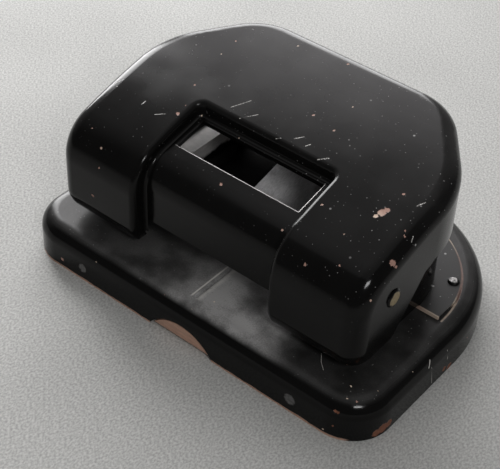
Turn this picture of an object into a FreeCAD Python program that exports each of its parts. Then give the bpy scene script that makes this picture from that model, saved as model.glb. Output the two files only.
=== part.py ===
import FreeCAD, Part
import math
import os
import re
import Sketcher

# Two-hole desk paper punch with a pressed-steel hood for a lever.
# X runs along the base, +Y to the rear, +Z up. The origin is the middle of the
# footprint, on the table. Paper enters from the front, -Y.

SIZES = [
    # base
    ("base_side_margin", 12.2, "from the frame's side wall to the base's side"),
    ("base_depth", 82.0, "base, front to rear"),
    ("base_height", 12.0, "top of the base above the table"),
    ("base_sheet", 1.0, "sheet thickness of the base"),
    ("base_front_corner", 12.0, "plan radius of the front corners"),
    ("base_rear_corner", 40.0, "plan radius of the rear corners"),
    ("base_top_round", 5.0, "radius of the drawn top edge"),
    ("mark_width", 2.4, "width of the centre mark groove"),
    ("mark_depth", 0.6, "depth of the centre mark groove"),
    ("mark_front", -35.2, "front end of the centre mark"),
    ("mark_rear", -14.0, "rear end of the centre mark"),
    ("notch_half_width", 10.8, "half width of the finger notch at the table"),
    ("notch_height", 6.0, "height of the finger notch"),
    ("dimple_place", 35.6, "snap dimples, from the middle"),
    ("dimple_lift", 4.4, "snap dimples above the table"),
    ("dimple_radius", 1.6, "radius of a snap dimple"),
    ("dimple_depth", 0.2, "depth of a snap dimple"),
    # chip tray cover
    ("cover_gap", 0.3, "play between cover and base wall"),
    ("cover_rear_gap", 1.5, "room for the cover's swing at the rear wall"),
    ("cover_lift", 0.3, "underside of the cover above the table"),
    ("cover_sheet", 0.7, "sheet thickness of the cover"),
    ("cover_wall_top", 6.6, "top of the cover wall"),
    ("cover_wall_rear", 2.0, "rear end of the cover wall"),
    ("cover_round", 1.6, "outer bend at the foot of the cover wall"),
    ("lip_play", 0.5, "play between the cover's thumb lip and the finger notch"),
    ("hinge_setback", 2.4, "hinge line of the cover, in front of the base's rear wall"),
    ("hinge_wire", 0.8, "radius of the hinge wire"),
    ("hinge_play", 0.06, "radial play of the hinge wire in the curl"),
    ("curl_radius", 1.7, "outer radius of the cover's hinge curl"),
    ("curl_half_length", 13.5, "half length of the hinge curl"),
    ("cover_tail_half", 22.0, "half width of the cover where it runs past its hinge"),
    ("cover_swing_room", 3.0, "from the hinge line to the cover's outer rear edges"),
    ("lug_thickness", 1.2, "thickness of a hinge lug"),
    ("lug_top", 5.2, "top of a hinge lug"),
    # punching line
    ("punch_spacing", 80.0, "distance between the two holes"),
    ("punch_line", -10.0, "punching line"),
    ("punch_radius", 2.8, "radius of a punch pin"),
    ("guide_play", 0.05, "radial play of a punch in its guide"),
    ("hole_margin", 12.0, "from the holes to the paper stop"),
    ("throat_gap", 1.6, "slot for the paper"),
    ("die_body", 5.0, "radius of a die"),
    ("die_flange", 6.5, "radius of a die's flange"),
    ("die_flange_thickness", 1.2, "thickness of a die's flange"),
    ("die_depth", 3.6, "height of a die"),
    # frame
    ("punch_margin", 5.8, "from a punch to the frame's side wall"),
    ("frame_front", -27.0, "front of the frame"),
    ("base_rear_margin", 16.5, "from the frame's rear wall to the base's rear"),
    ("frame_corner", 25.5, "plan radius of the frame's rear corners"),
    ("frame_sheet", 1.2, "sheet thickness of the frame"),
    ("tower_height", 28.0, "top of the two towers"),
    ("tower_round", 3.0, "radius of the towers' top edges"),
    ("bridge_height", 22.5, "top of the bridge between the towers"),
    ("bridge_half_width", 27.0, "half width of the bridge"),
    ("bridge_front", -8.5, "front edge of the bridge"),
    ("flange_width", 6.6, "width of the foot flange"),
    ("flange_thickness", 1.0, "thickness of the foot flange"),
    ("flange_corner", 30.1, "plan radius of the flange's rear corners"),
    ("flange_straight", 1.4, "straight stretch of the flange's side, in front of its corner"),
    ("flange_step", 0.7, "width of the step in the flange's outer edge"),
    ("flange_step_length", 6.9, "length of the step in the flange's edge"),
    ("ear_radius", 6.5, "radius of the ear round the pivot"),
    ("rivet_radius", 1.0, "radius of a rivet's shank"),
    ("rivet_head", 1.7, "radius of a rivet's head"),
    ("rivet_head_height", 0.6, "height of a rivet's head"),
    ("rivet_margin", 2.1, "frame rivets, inwards from the flange's edge"),
    ("rear_rivet_place", 10.0, "rear frame rivets, from the middle"),
    # guide plate and paper stop
    ("plate_sheet", 1.2, "sheet thickness of the guide plate"),
    ("plate_front", -19.0, "front edge of the guide plate"),
    ("plate_rear", -1.0, "rear edge of the guide plate"),
    ("plate_tab_top", 20.0, "top of the guide plate's end tabs"),
    ("sight_half_width", 23.0, "half width of the sight cut-out"),
    ("bush_radius", 4.4, "outer radius of a guide bush"),
    ("bush_height", 4.0, "height of a guide bush"),
    ("stop_sheet", 1.0, "sheet thickness of the paper stop"),
    ("stop_foot", 6.0, "foot of the paper stop, front to rear"),
    ("stop_play", 0.3, "play between the paper stop and its neighbours"),
    ("stop_rivet_place", 30.0, "paper stop rivets, from the middle"),
    # lever
    ("pivot_line", -20.8, "pivot, front to rear"),
    ("pivot_height", 33.0, "pivot above the table"),
    ("pivot_radius", 2.0, "radius of a pivot pin"),
    ("pivot_play", 0.06, "radial play of the hood on a pivot pin"),
    ("pivot_head", 2.6, "radius of a pivot pin's head"),
    ("pivot_head_height", 0.6, "height of a pivot pin's head"),
    ("washer_radius", 4.5, "outer radius of a pivot washer"),
    ("washer_thickness", 2.2, "thickness of a pivot washer"),
    ("washer_play", 0.1, "play on each side of a pivot washer"),
    ("hood_front", -34.5, "front face of the hood's two bulges"),
    ("hood_overhang", 6.0, "from the frame's rear wall to the hood's rear face"),
    ("hood_lip", 13.8, "lowest line of the bulges"),
    ("hood_sheet", 1.0, "sheet thickness of the hood"),
    ("crown_front", 41.0, "crown line at the front face"),
    ("crown_rear", 54.4, "crown line at the rear face"),
    ("crown_radius", 200.0, "radius of the crown, seen from the side"),
    ("nose_round", 13.0, "radius from the front face to the crown"),
    ("lip_round", 8.0, "radius of the inward curl of the bulges"),
    ("hood_side_arc", 29.0, "plan radius from the hood's side to its slant"),
    ("hood_slant", 38.0, "turn of the slant from the side, in degrees"),
    ("hood_slant_start", 6.7, "where the side and the slant would meet"),
    ("hood_rear_arc", 18.0, "plan radius from the slant to the hood's rear"),
    ("hood_edge_round", 5.0, "radius of the hood's side and top edges"),
    ("lip_rear", -27.6, "rear end of the inward curl"),
    ("lip_corner", 5.0, "radius of the bulges' lower inner corners"),
    ("cheek_front_foot", 14.9, "underside of a cheek at its front"),
    ("cheek_rear_foot", 17.2, "underside of a cheek at its rear"),
    ("cheek_rear", -19.2, "where the cheek starts to rise"),
    ("cheek_round", 2.5, "radius at the rear of the cheek's foot"),
    ("cheek_play", 0.6, "least play between a cheek's foot and the frame"),
    ("skirt_start", -5.6, "where the skirt starts"),
    ("skirt_foot", 33.3, "underside of the skirt at its start"),
    ("skirt_rise", 1.3, "rise of the skirt's foot towards the rear"),
    ("skirt_round", 6.0, "radius between cheek and skirt"),
    ("panel_half_width", 22.0, "half width of the recessed panel"),
    ("panel_front", -30.0, "front face of the recessed panel"),
    ("panel_crown_front", 40.2, "panel's top line at its front face"),
    ("panel_crown_rear", 45.0, "panel's top line at its rear edge"),
    ("panel_rear", -8.5, "rear edge of the recessed panel"),
    ("panel_round", 9.0, "radius from the panel's face to its top"),
    ("panel_foot", 23.0, "lower edge of the recessed panel"),
    ("flank_corner", 2.0, "plan radius of the panel's rear corners"),
    ("flank_round", 1.7, "radius at the crest of the flanks"),
    ("flank_foot_round", 1.0, "radius at the foot of the flanks"),
    ("window_half_width", 19.6, "half width of the window"),
    ("window_front", -20.2, "front edge of the window"),
    ("window_rear", -10.0, "rear edge of the window"),
    # punches and their springs
    ("tip_lift", 0.1, "punch tip above the underside of its bush"),
    ("collar_height", 33.4, "underside of the spring collar"),
    ("collar_thickness", 1.2, "thickness of the spring collar"),
    ("collar_radius", 4.1, "radius of the spring collar"),
    ("head_top", 36.6, "top of the punch head"),
    ("head_radius", 3.3, "radius of the punch head"),
    ("head_dome", 5.0, "radius of the head's domed top"),
    ("coil_radius", 3.5, "mean radius of a punch spring"),
    ("coil_wire", 0.35, "radius of the spring wire"),
    ("coil_turns", 3.5, "turns of a punch spring"),
    ("coil_play", 0.1, "gap between a punch spring and its collar"),
    ("press_gap", 0.3, "gap between punch head and bracket at rest"),
    ("bracket_sheet", 1.5, "sheet thickness of a press bracket"),
    ("bracket_half_width", 4.2, "half width of a press bracket"),
    ("bracket_half_depth", 5.5, "half depth of a press bracket"),
    # lever spring
    ("leaf_half_width", 8.4, "half width of the leaf spring"),
    ("leaf_sheet", 0.6, "thickness of the leaf spring"),
    ("leaf_foot", 4.6, "length of the leaf's foot"),
    ("leaf_foot_bend", 3.0, "bend radius at the leaf's foot"),
    ("leaf_rise", 14.5, "rise angle of the lower arm"),
    ("leaf_arm", 10.0, "length of the lower arm"),
    ("leaf_bow", 12.1, "radius of the leaf's bow"),
    ("leaf_tip_angle", 8.0, "slope of the upper arm"),
    ("leaf_tip", 7.0, "length of the upper arm"),
    ("leaf_rivet_place", 4.4, "leaf rivets, from the middle"),
]

# Sizes that follow from the sizes above.
DERIVED = {
    "frame_half_width": "(punch_spacing / 2 + punch_margin)",
    "base_length": "(punch_spacing + 2 * punch_margin + 2 * base_side_margin)",
    "hood_half_width": "(punch_spacing / 2 + punch_margin + washer_thickness"
                       " + 2 * washer_play + hood_sheet)",
    "frame_rear": "(base_depth / 2 - base_rear_margin)",
    "hood_rear": "(base_depth / 2 - base_rear_margin + hood_overhang)",
    "hinge_place": "(base_depth / 2 - base_sheet - hinge_setback)",
    "flange_front": "(base_depth / 2 - base_rear_margin + flange_width"
                    " - flange_corner - flange_straight)",
}

doc = FreeCAD.newDocument("desk_punch")
sheet = doc.addObject("Spreadsheet::Sheet", "Sizes")
for row, (alias, amount, meaning) in enumerate(SIZES, start=1):
    sheet.set(f"A{row}", alias)
    sheet.set(f"B{row}", str(amount))
    sheet.setAlias(f"B{row}", alias)
    sheet.set(f"C{row}", meaning)
doc.recompute()

ORIGIN = -1          # geometry number of a sketch's origin point
START, END, CENTRE = range(1, 4)    # points of a line or an arc, in a sketch constraint
CLEAR = 5.0          # how far a cutting tool runs past what it cuts
SLIM = 1e-3          # tolerance when an edge is looked up by its place


# ---------------------------------------------------------------- helpers

def bound(formula):
    """Write out the derived sizes in a formula and point every size name at the sheet."""
    words = r"\b([a-z]+(?:_[a-z]+)+)\b"
    plain = re.sub(words, lambda found: DERIVED.get(found.group(), found.group()), str(formula))
    return re.sub(words, r"Sizes.\1", plain)


def value(formula):
    """A formula's value with the present sizes."""
    return float(sheet.evalExpression(bound(formula)))


def set_size(thing, **formulas):
    """Bind properties to formulas: a double underscore stands for a dot."""
    for name, formula in formulas.items():
        thing.setExpression(name.replace("__", "."), bound(formula))


def move(thing, x="0", y="0", z="0"):
    """Bind where a body or primitive stands."""
    set_size(thing, Placement__Base__x=x, Placement__Base__y=y, Placement__Base__z=z)
    return thing


def new_body(label):
    made = doc.addObject("PartDesign::Body", label)
    made.Label = label
    return made


def on_plane(body, role, name, lift="0"):
    """An empty sketch on one of the body's own origin planes."""
    sketch = body.newObject("Sketcher::SketchObject", name)
    plane = [item for item in body.Origin.OriginFeatures if item.Role == role][0]
    sketch.AttachmentSupport = [(plane, "")]
    sketch.MapMode = "FlatFace"
    sketch.setExpression("AttachmentOffset.Base.z", bound(lift))
    return sketch


def tie(sketch, kind, formula, *place):
    """Add a dimension to a sketch and bind it to a formula."""
    number = sketch.addConstraint(Sketcher.Constraint(kind, *place, value(formula)))
    sketch.setExpression(f"Constraints[{number}]", bound(formula))


def outline(body, role, name, corners, lift="0"):
    """A closed sketch of straight sides through corners given as formulas."""
    sketch = on_plane(body, role, name, lift)
    spots = [FreeCAD.Vector(value(x), value(y), 0) for x, y in corners]
    count = len(spots)
    for side in range(count):
        sketch.addGeometry(Part.LineSegment(spots[side], spots[(side + 1) % count]))
    for side in range(count):
        joint = Sketcher.Constraint("Coincident", side, END, (side + 1) % count, START)
        sketch.addConstraint(joint)
    for side, (x, y) in enumerate(corners):
        tie(sketch, "DistanceX", x, ORIGIN, START, side, START)
        tie(sketch, "DistanceY", y, ORIGIN, START, side, START)
    return sketch


def rectangle(left, front, right, rear):
    return [(left, front), (right, front), (right, rear), (left, rear)]


def pad(body, sketch, length, symmetric=False):
    made = body.newObject("PartDesign::Pad", sketch.Name + "_pad")
    made.Profile = sketch
    made.SideType = "Symmetric" if symmetric else "One side"
    set_size(made, Length=length)
    doc.recompute()
    return made


def pocket(body, sketch, length, symmetric=False, reverse=False):
    before = body.Shape.Volume
    made = body.newObject("PartDesign::Pocket", sketch.Name + "_pocket")
    made.Profile = sketch
    made.SideType = "Symmetric" if symmetric else "One side"
    made.Reversed = reverse
    set_size(made, Length=length)
    doc.recompute()
    if body.Shape.Volume >= before:
        raise RuntimeError(sketch.Name + " cuts nothing")
    return made


def fillet(body, name, radius, wanted):
    """Round the tip's edges that the wanted test picks."""
    tip = body.Tip
    picked = [f"Edge{i}" for i, edge in enumerate(tip.Shape.Edges, start=1) if wanted(edge)]
    if not picked:
        raise RuntimeError(name + " finds no edge")
    made = body.newObject("PartDesign::Fillet", name)
    made.Base = (tip, picked)
    set_size(made, Radius=radius)
    doc.recompute()
    return made


def upright(edge):
    box = edge.BoundBox
    return box.ZLength > SLIM and box.XLength < SLIM and box.YLength < SLIM


def level_at(height):
    """A test for edges that lie flat at one height."""
    level = value(height)
    return lambda edge: edge.BoundBox.ZLength < SLIM and abs(edge.BoundBox.ZMin - level) < SLIM


def along_x_at(depth, height):
    """A test for edges parallel to X at one place."""
    y, z = value(depth), value(height)

    def test(edge):
        box = edge.BoundBox
        flat = box.YLength < SLIM and box.ZLength < SLIM
        return flat and abs(box.YMin - y) < SLIM and abs(box.ZMin - z) < SLIM
    return test


def turned(label, profile, x="0", y="0"):
    """A body turned about its own Z axis from a radius-height outline."""
    made = new_body(label)
    sketch = outline(made, "XZ_Plane", label + "_profile", profile)
    spin = made.newObject("PartDesign::Revolution", label + "_turned")
    spin.Profile = sketch
    spin.ReferenceAxis = (sketch, ["V_Axis"])
    spin.Angle = 360
    doc.recompute()
    return move(made, x, y)


def cylinder(name, radius, height, x="0", y="0", z="0", turn=None):
    """A plain cylinder; turn is (axis, angle) for one that doesn't stand up."""
    made = doc.addObject("Part::Cylinder", name)
    if turn:
        made.Placement = FreeCAD.Placement(FreeCAD.Vector(), FreeCAD.Rotation(*turn))
    set_size(made, Radius=radius, Height=height)
    return move(made, x, y, z)


ALONG_X = (FreeCAD.Vector(0, 1, 0), 90)
ALONG_Y = (FreeCAD.Vector(1, 0, 0), -90)


def block(name, low, high):
    """A box between two corners given as formulas."""
    made = doc.addObject("Part::Box", name)
    spans = [f"({b}) - ({a})" for a, b in zip(low, high)]
    set_size(made, Length=spans[0], Width=spans[1], Height=spans[2])
    return move(made, *low)


def fuse(label, *pieces):
    made = doc.addObject("Part::MultiFuse", label)
    made.Shapes = list(pieces)
    made.Label = label
    return made


def cut(label, base, *tools):
    made = doc.addObject("Part::Cut", label)
    made.Base = base
    made.Tool = tools[0] if len(tools) == 1 else fuse(label + "_tools", *tools)
    made.Label = label
    return made


def group(label, *pieces):
    """Several like solids in one sub-part."""
    made = doc.addObject("Part::Compound", label)
    made.Links = list(pieces)
    made.Label = label
    return made


def both_sides(maker):
    """Make a piece at the left and at the right."""
    return [maker("left", "-"), maker("right", "")]


# ---------------------------------------------------------------- places

BASE_X = "base_length / 2"
BASE_Y = "base_depth / 2"
PUNCH_X = "punch_spacing / 2"
STOP_Y = "punch_line + hole_margin"
PLATE_Z = "base_height + throat_gap"
HINGE_Z = "cover_lift + curl_radius"
ARCH = "((notch_half_width ^ 2 + notch_height ^ 2) / (2 * notch_height))"
FRAME_RIVETS = [
    # outwards along the corner arc: share of its radius in X and in Y
    ("corner_a", 0.895, 0.446),
    ("corner_b", 0.454, 0.891),
]


def rivet_places():
    """Name, X and Y of each rivet through the frame's foot flange."""
    reach = "(flange_corner - rivet_margin)"
    places = []
    for side, sign in (("left", "-1"), ("right", "1")):
        for name, share_x, share_y in FRAME_RIVETS:
            x = f"{sign} * (frame_half_width + flange_width - flange_corner + {reach} * {share_x})"
            y = f"frame_rear + flange_width - flange_corner + {reach} * {share_y}"
            places.append((f"{side}_{name}", x, y))
        places.append((f"{side}_rear", f"{sign} * rear_rivet_place",
                       "frame_rear + flange_width - rivet_margin"))
    return places


# ---------------------------------------------------------------- base

def rounded_plan(label, half_x, front, rear, foot, top, corners):
    """A prism with rounded plan corners: (radius, at the front?) pairs."""
    made = new_body(label)
    plan = rectangle(f"-({half_x})", front, half_x, rear)
    sketch = outline(made, "XY_Plane", label + "_plan", plan, foot)
    pad(made, sketch, f"({top}) - ({foot})")
    middle = (value(front) + value(rear)) / 2
    for radius, at_front in corners:
        fillet(made, f"{label}_{'front' if at_front else 'rear'}_corners", radius,
               lambda edge, f=at_front: upright(edge) and (edge.BoundBox.YMin < middle) == f)
    return made


def base_form(label, inset):
    """The base as a full form, drawn in by an inset."""
    corners = [(f"base_front_corner - ({inset})", True), (f"base_rear_corner - ({inset})", False)]
    made = rounded_plan(label, f"{BASE_X} - ({inset})", f"-({BASE_Y}) + ({inset})",
                        f"{BASE_Y} - ({inset})", "0", f"base_height - ({inset})", corners)
    fillet(made, label + "_top_round", f"base_top_round - ({inset})",
           level_at(f"base_height - ({inset})"))
    return made


def centre_mark():
    """The V-shaped groove that marks the middle of the paper."""
    made = new_body("centre_mark")
    corners = [("-mark_width / 2", "base_height"), ("0", "base_height - mark_depth"),
               ("mark_width / 2", "base_height")]
    sketch = outline(made, "XZ_Plane", "mark_profile", corners, "-mark_rear")
    pad(made, sketch, "mark_rear - mark_front")
    return made


def dimple(side, sign, wall, name):
    """A small cone pressed into, or standing behind, the front wall."""
    made = doc.addObject("Part::Cone", f"{name}_{side}")
    made.Placement = FreeCAD.Placement(FreeCAD.Vector(), FreeCAD.Rotation(*ALONG_Y))
    set_size(made, Radius1="dimple_radius", Radius2="dimple_radius * 0.7",
             Height="dimple_depth")
    return move(made, f"{sign}dimple_place", wall, "dimple_lift")


def make_base():
    outer = base_form("base_outer", "0")
    inner = base_form("base_inner", "base_sheet")
    hollow = cut("base_hollow", outer, inner)
    bumps = [dimple(side, sign, f"-({BASE_Y}) + base_sheet", "snap_bump")
             for side, sign in (("left", "-"), ("right", ""))]
    bumped = fuse("base_bumped", hollow, *bumps)
    tools = [centre_mark()]
    tools.append(cylinder("finger_notch", ARCH, f"base_sheet + {CLEAR} + cover_gap",
                          "0", f"-({BASE_Y}) - {CLEAR}", f"notch_height - {ARCH}", ALONG_Y))
    for side, sign in (("left", "-"), ("right", "")):
        tools.append(dimple(side, sign, f"-({BASE_Y})", "snap_dimple"))
        tools.append(cylinder(f"die_seat_{side}", "die_body", "base_height",
                              f"{sign}{PUNCH_X}", "punch_line", "base_height / 2"))
    for name, x, y in rivet_places() + stop_rivet_places():
        tools.append(cylinder(f"base_hole_{name}", "rivet_radius", "base_height",
                              x, y, "base_height / 2"))
    return cut("base_shell", bumped, *tools)


def make_die(side, sign):
    """A hardened die, set in from below."""
    hole = "punch_radius + guide_play"
    under = "base_height - base_sheet"
    foot = "base_height - die_depth"
    profile = [(hole, foot), ("die_body", foot), ("die_body", f"{under} - die_flange_thickness"),
               ("die_flange", f"{under} - die_flange_thickness"), ("die_flange", under),
               ("die_body", under), ("die_body", "base_height"), (hole, "base_height")]
    return turned(f"die_{side}", profile, f"{sign}{PUNCH_X}", "punch_line")


# ---------------------------------------------------------------- chip tray cover

def cover_form(label, inset, foot, top):
    """The cover's plan as a prism with a bent foot."""
    edge = f"base_sheet + cover_gap + ({inset})"
    corners = [(f"base_front_corner - ({edge})", True), (f"base_rear_corner - ({edge})", False)]
    made = rounded_plan(label, f"{BASE_X} - ({edge})", f"-({BASE_Y}) + {edge}",
                        f"{BASE_Y} - base_sheet - cover_rear_gap - ({inset})", foot, top, corners)
    fillet(made, label + "_foot_round", f"cover_round - ({inset})", level_at(foot))
    return made


def make_thumb_lip():
    """The solid lip that fills the finger notch, rounded at its foot."""
    made = new_body("thumb_lip")
    front = f"-({BASE_Y}) + lip_play / 2"
    rear = f"-({BASE_Y}) + base_sheet + cover_gap + cover_sheet"
    half = "(notch_half_width - lip_play * 1.5)"
    plan = outline(made, "XY_Plane", "thumb_lip_plan", rectangle(f"-{half}", front, half, rear),
                   "cover_lift")
    pad(made, plan, "notch_height - lip_play - cover_lift")
    fillet(made, "thumb_lip_foot", "cover_round", along_x_at(front, "cover_lift"))
    arch = doc.addObject("Part::Common", "thumb_lip_arch")
    arch.Base = made
    arch.Tool = cylinder("thumb_lip_round", f"{ARCH} - lip_play", "base_depth", "0",
                         f"-({BASE_Y}) - {CLEAR}", f"notch_height - {ARCH}", ALONG_Y)
    return arch


def make_cover():
    outer = cover_form("cover_outer", "0", "cover_lift", "cover_wall_top")
    inner = cover_form("cover_inner", "cover_sheet", "cover_lift + cover_sheet",
                       f"cover_wall_top + {CLEAR}")
    pan = cut("cover_pan", outer, inner)
    floor = "cover_lift + cover_sheet"
    low_rear = block("cover_rear_trim", (f"-{BASE_X}", "cover_wall_rear", floor),
                     (BASE_X, BASE_Y, f"cover_wall_top + {CLEAR}"))
    free = "curl_half_length + lug_thickness * 2"
    hinge_room = block("cover_hinge_room", (f"-({free})", "hinge_place - curl_radius * 2", "0"),
                       (free, BASE_Y, "cover_wall_top"))
    tools = [low_rear, hinge_room]
    swing_line = "hinge_place - cover_swing_room"
    tools.append(block("cover_swing_left", (f"-{BASE_X}", swing_line, "0"),
                       ("-cover_tail_half", BASE_Y, "cover_wall_top")))
    tools.append(block("cover_swing_right", ("cover_tail_half", swing_line, "0"),
                       (BASE_X, BASE_Y, "cover_wall_top")))
    trimmed = cut("cover_trimmed", pan, *tools)
    tongue = block("cover_tongue",
                   ("-curl_half_length", "hinge_place - curl_radius * 2", "cover_lift"),
                   ("curl_half_length", "hinge_place", floor))
    curl = cylinder("cover_curl", "curl_radius", "2 * curl_half_length",
                    "-curl_half_length", "hinge_place", HINGE_Z, ALONG_X)
    whole = fuse("cover_whole", trimmed, tongue, curl, make_thumb_lip())
    bore = cylinder("cover_curl_bore", "hinge_wire + hinge_play", f"2 * curl_half_length + {CLEAR}",
                    f"-curl_half_length - {CLEAR} / 2", "hinge_place", HINGE_Z, ALONG_X)
    return cut("bottom_cover", whole, bore)


LUG_X = "curl_half_length + cover_gap"


def make_hinge_lug(side, sign):
    """A lug on the rear wall that holds one end of the hinge wire."""
    low = LUG_X if sign == "" else f"-({LUG_X} + lug_thickness)"
    plate = block(f"lug_plate_{side}",
                  (low, "hinge_place - curl_radius", "cover_lift + cover_sheet"),
                  (f"{low} + lug_thickness", f"{BASE_Y} - base_sheet", "lug_top"))
    hole = cylinder(f"lug_hole_{side}", "hinge_wire", f"lug_thickness + {CLEAR}",
                    f"{low} - {CLEAR} / 2", "hinge_place", HINGE_Z, ALONG_X)
    return cut(f"hinge_lug_{side}", plate, hole)


def make_hinge_wire():
    length = f"({LUG_X} + lug_thickness)"
    return cylinder("cover_hinge_wire", "hinge_wire", f"2 * {length}",
                    f"-{length}", "hinge_place", HINGE_Z, ALONG_X)


# ---------------------------------------------------------------- frame

def frame_form(label, inset, front):
    """The frame as a full form: two towers with a lower bridge between."""
    top = f"tower_height - ({inset})"
    made = rounded_plan(label, f"frame_half_width - ({inset})", front,
                        f"frame_rear - ({inset})", "base_height", top,
                        [(f"frame_corner - ({inset})", False)])
    fillet(made, label + "_top_round", f"tower_round - ({inset})",
           lambda edge: level_at(top)(edge) and edge.BoundBox.YMax > value(front) + SLIM)
    half = f"(bridge_half_width + ({inset}))"
    bridge = f"bridge_height - ({inset})"
    gap = rectangle(f"-{half}", bridge, half, "tower_height + base_height")
    sketch = outline(made, "XZ_Plane", label + "_bridge", gap)
    pocket(made, sketch, f"4 * {BASE_Y}", symmetric=True)
    return made


def make_ear(side, sign):
    """The upright ear that carries a pivot pin."""
    outer, thick = "frame_half_width", "frame_sheet"
    low = f"{outer} - {thick}" if sign == "" else f"-{outer}"
    stem = block(f"ear_stem_{side}", (low, "pivot_line - ear_radius", "bridge_height"),
                 (f"{low} + {thick}", "pivot_line + ear_radius", "pivot_height"))
    eye = cylinder(f"ear_eye_{side}", "ear_radius", thick,
                   low, "pivot_line", "pivot_height", ALONG_X)
    return fuse(f"ear_{side}", stem, eye)


def flange_step_tool(side, sign):
    """Sets the flange's outer edge back at its front end."""
    outer = "frame_half_width + flange_width"
    low = f"{outer} - flange_step" if sign == "" else f"-({outer}) - {CLEAR}"
    return block(f"flange_step_{side}", (low, f"flange_front - {CLEAR}", "base_height - base_sheet"),
                 (f"({low}) + {CLEAR} + flange_step", "flange_front + flange_step_length",
                  "tower_height"))


def make_frame():
    outer = frame_form("frame_outer", "0", "frame_front")
    inner = frame_form("frame_inner", "frame_sheet", f"frame_front - {CLEAR}")
    flange = rounded_plan("frame_flange", "frame_half_width + flange_width", "flange_front",
                          "frame_rear + flange_width", "base_height",
                          "base_height + flange_thickness", [("flange_corner", False)])
    fillet(flange, "flange_tips", "flange_thickness",
           lambda edge: upright(edge) and edge.BoundBox.YMax < value("flange_front") + SLIM)
    solid = fuse("frame_solid", outer, flange, *both_sides(make_ear))
    tools = [inner] + both_sides(flange_step_tool)
    tools.append(block("frame_throat", (f"-{BASE_X}", f"-{BASE_Y}", "0"),
                       (BASE_X, "flange_front", f"{PLATE_Z} + stop_play")))
    tools.append(block("frame_sight", ("-bridge_half_width", f"-{BASE_Y}", "0"),
                       ("bridge_half_width", "bridge_front", "tower_height + base_height")))
    tools.append(cylinder("frame_pivot_hole", "pivot_radius", "base_length",
                          f"-{BASE_X}", "pivot_line", "pivot_height", ALONG_X))
    for side, sign in (("left", "-"), ("right", "")):
        tools.append(cylinder(f"frame_guide_{side}", "punch_radius + guide_play", "tower_height",
                              f"{sign}{PUNCH_X}", "punch_line", "bridge_height"))
        tools.append(cylinder(f"frame_leaf_hole_{side}", "rivet_radius * 0.8", "tower_height",
                              f"{sign}leaf_rivet_place", LEAF_RIVET_Y, "base_height"))
    for name, x, y in rivet_places():
        tools.append(cylinder(f"flange_hole_{name}", "rivet_radius", "base_height",
                              x, y, "base_height / 2"))
    return cut("frame", solid, *tools)


def make_rivet(name, x, y, low, high, scale=1.0):
    """A rivet with a low domed head and a flat tail, from low to high."""
    shank, head = f"rivet_radius * {scale}", f"rivet_head * {scale}"
    rise = f"rivet_head_height * {scale}"
    tail = f"{low} - {rise} * 0.7"
    profile = [("0", tail), (head, tail), (head, low), (shank, low), (shank, high), (head, high),
               (f"{head} * 0.9", f"{high} + {rise} * 0.5"), (f"{head} * 0.5", f"{high} + {rise}"),
               ("0", f"{high} + {rise}")]
    return turned("rivet_" + name, profile, x, y)


def make_frame_rivets():
    low, high = "base_height - base_sheet", "base_height + flange_thickness"
    rivets = [make_rivet(name, x, y, low, high) for name, x, y in rivet_places()]
    return group("frame_rivets", *rivets)


# ---------------------------------------------------------------- guide plate and paper stop

def make_guide_plate():
    """The lower punch guide, held between the frame's side walls."""
    half = "frame_half_width - frame_sheet"
    top = f"{PLATE_Z} + plate_sheet"
    plate = block("guide_blank", (f"-({half})", "plate_front", PLATE_Z), (half, "plate_rear", top))
    tabs = [block("guide_tab_left", (f"-({half})", "plate_front", PLATE_Z),
                  (f"-({half}) + plate_sheet", "plate_rear", "plate_tab_top")),
            block("guide_tab_right", (f"{half} - plate_sheet", "plate_front", PLATE_Z),
                  (half, "plate_rear", "plate_tab_top"))]
    blank = fuse("guide_bent", plate, *tabs)
    sight = block("guide_sight", ("-sight_half_width", f"-{BASE_Y}", "0"),
                  ("sight_half_width", "bridge_front", "base_height * 2"))
    tools = [sight]
    for side, sign in (("left", "-"), ("right", "")):
        tools.append(cylinder(f"guide_seat_{side}", "bush_radius - plate_sheet / 2", "base_height",
                              f"{sign}{PUNCH_X}", "punch_line", "base_height"))
        tools.append(cylinder(f"guide_tab_notch_{side}", "bush_radius + stop_play", "tower_height",
                              f"{sign}{PUNCH_X}", "punch_line", top))
    return cut("guide_plate", blank, *tools)


def make_bush(side, sign):
    """A shouldered bush that guides a punch just above the paper."""
    bore, neck = "punch_radius + guide_play", "bush_radius - plate_sheet / 2"
    shoulder = f"{PLATE_Z} + plate_sheet"
    profile = [(bore, PLATE_Z), (neck, PLATE_Z), (neck, shoulder), ("bush_radius", shoulder),
               ("bush_radius", f"{PLATE_Z} + bush_height"), (bore, f"{PLATE_Z} + bush_height")]
    return turned(f"guide_bush_{side}", profile, f"{sign}{PUNCH_X}", "punch_line")


STOP_RIVET_Y = f"{STOP_Y} + stop_sheet + stop_foot / 2"


def stop_rivet_places():
    return [("stop_left", "-stop_rivet_place", STOP_RIVET_Y),
            ("stop_right", "stop_rivet_place", STOP_RIVET_Y)]


def half_in_frame(depth):
    """Half the room between the frame's side walls, at a depth in its rear corners."""
    arc = "(frame_corner - frame_sheet - stop_play)"
    reach = f"({depth} - frame_rear + frame_corner)"
    return f"(frame_half_width - frame_corner + sqrt({arc} ^ 2 - {reach} ^ 2))"


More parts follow.
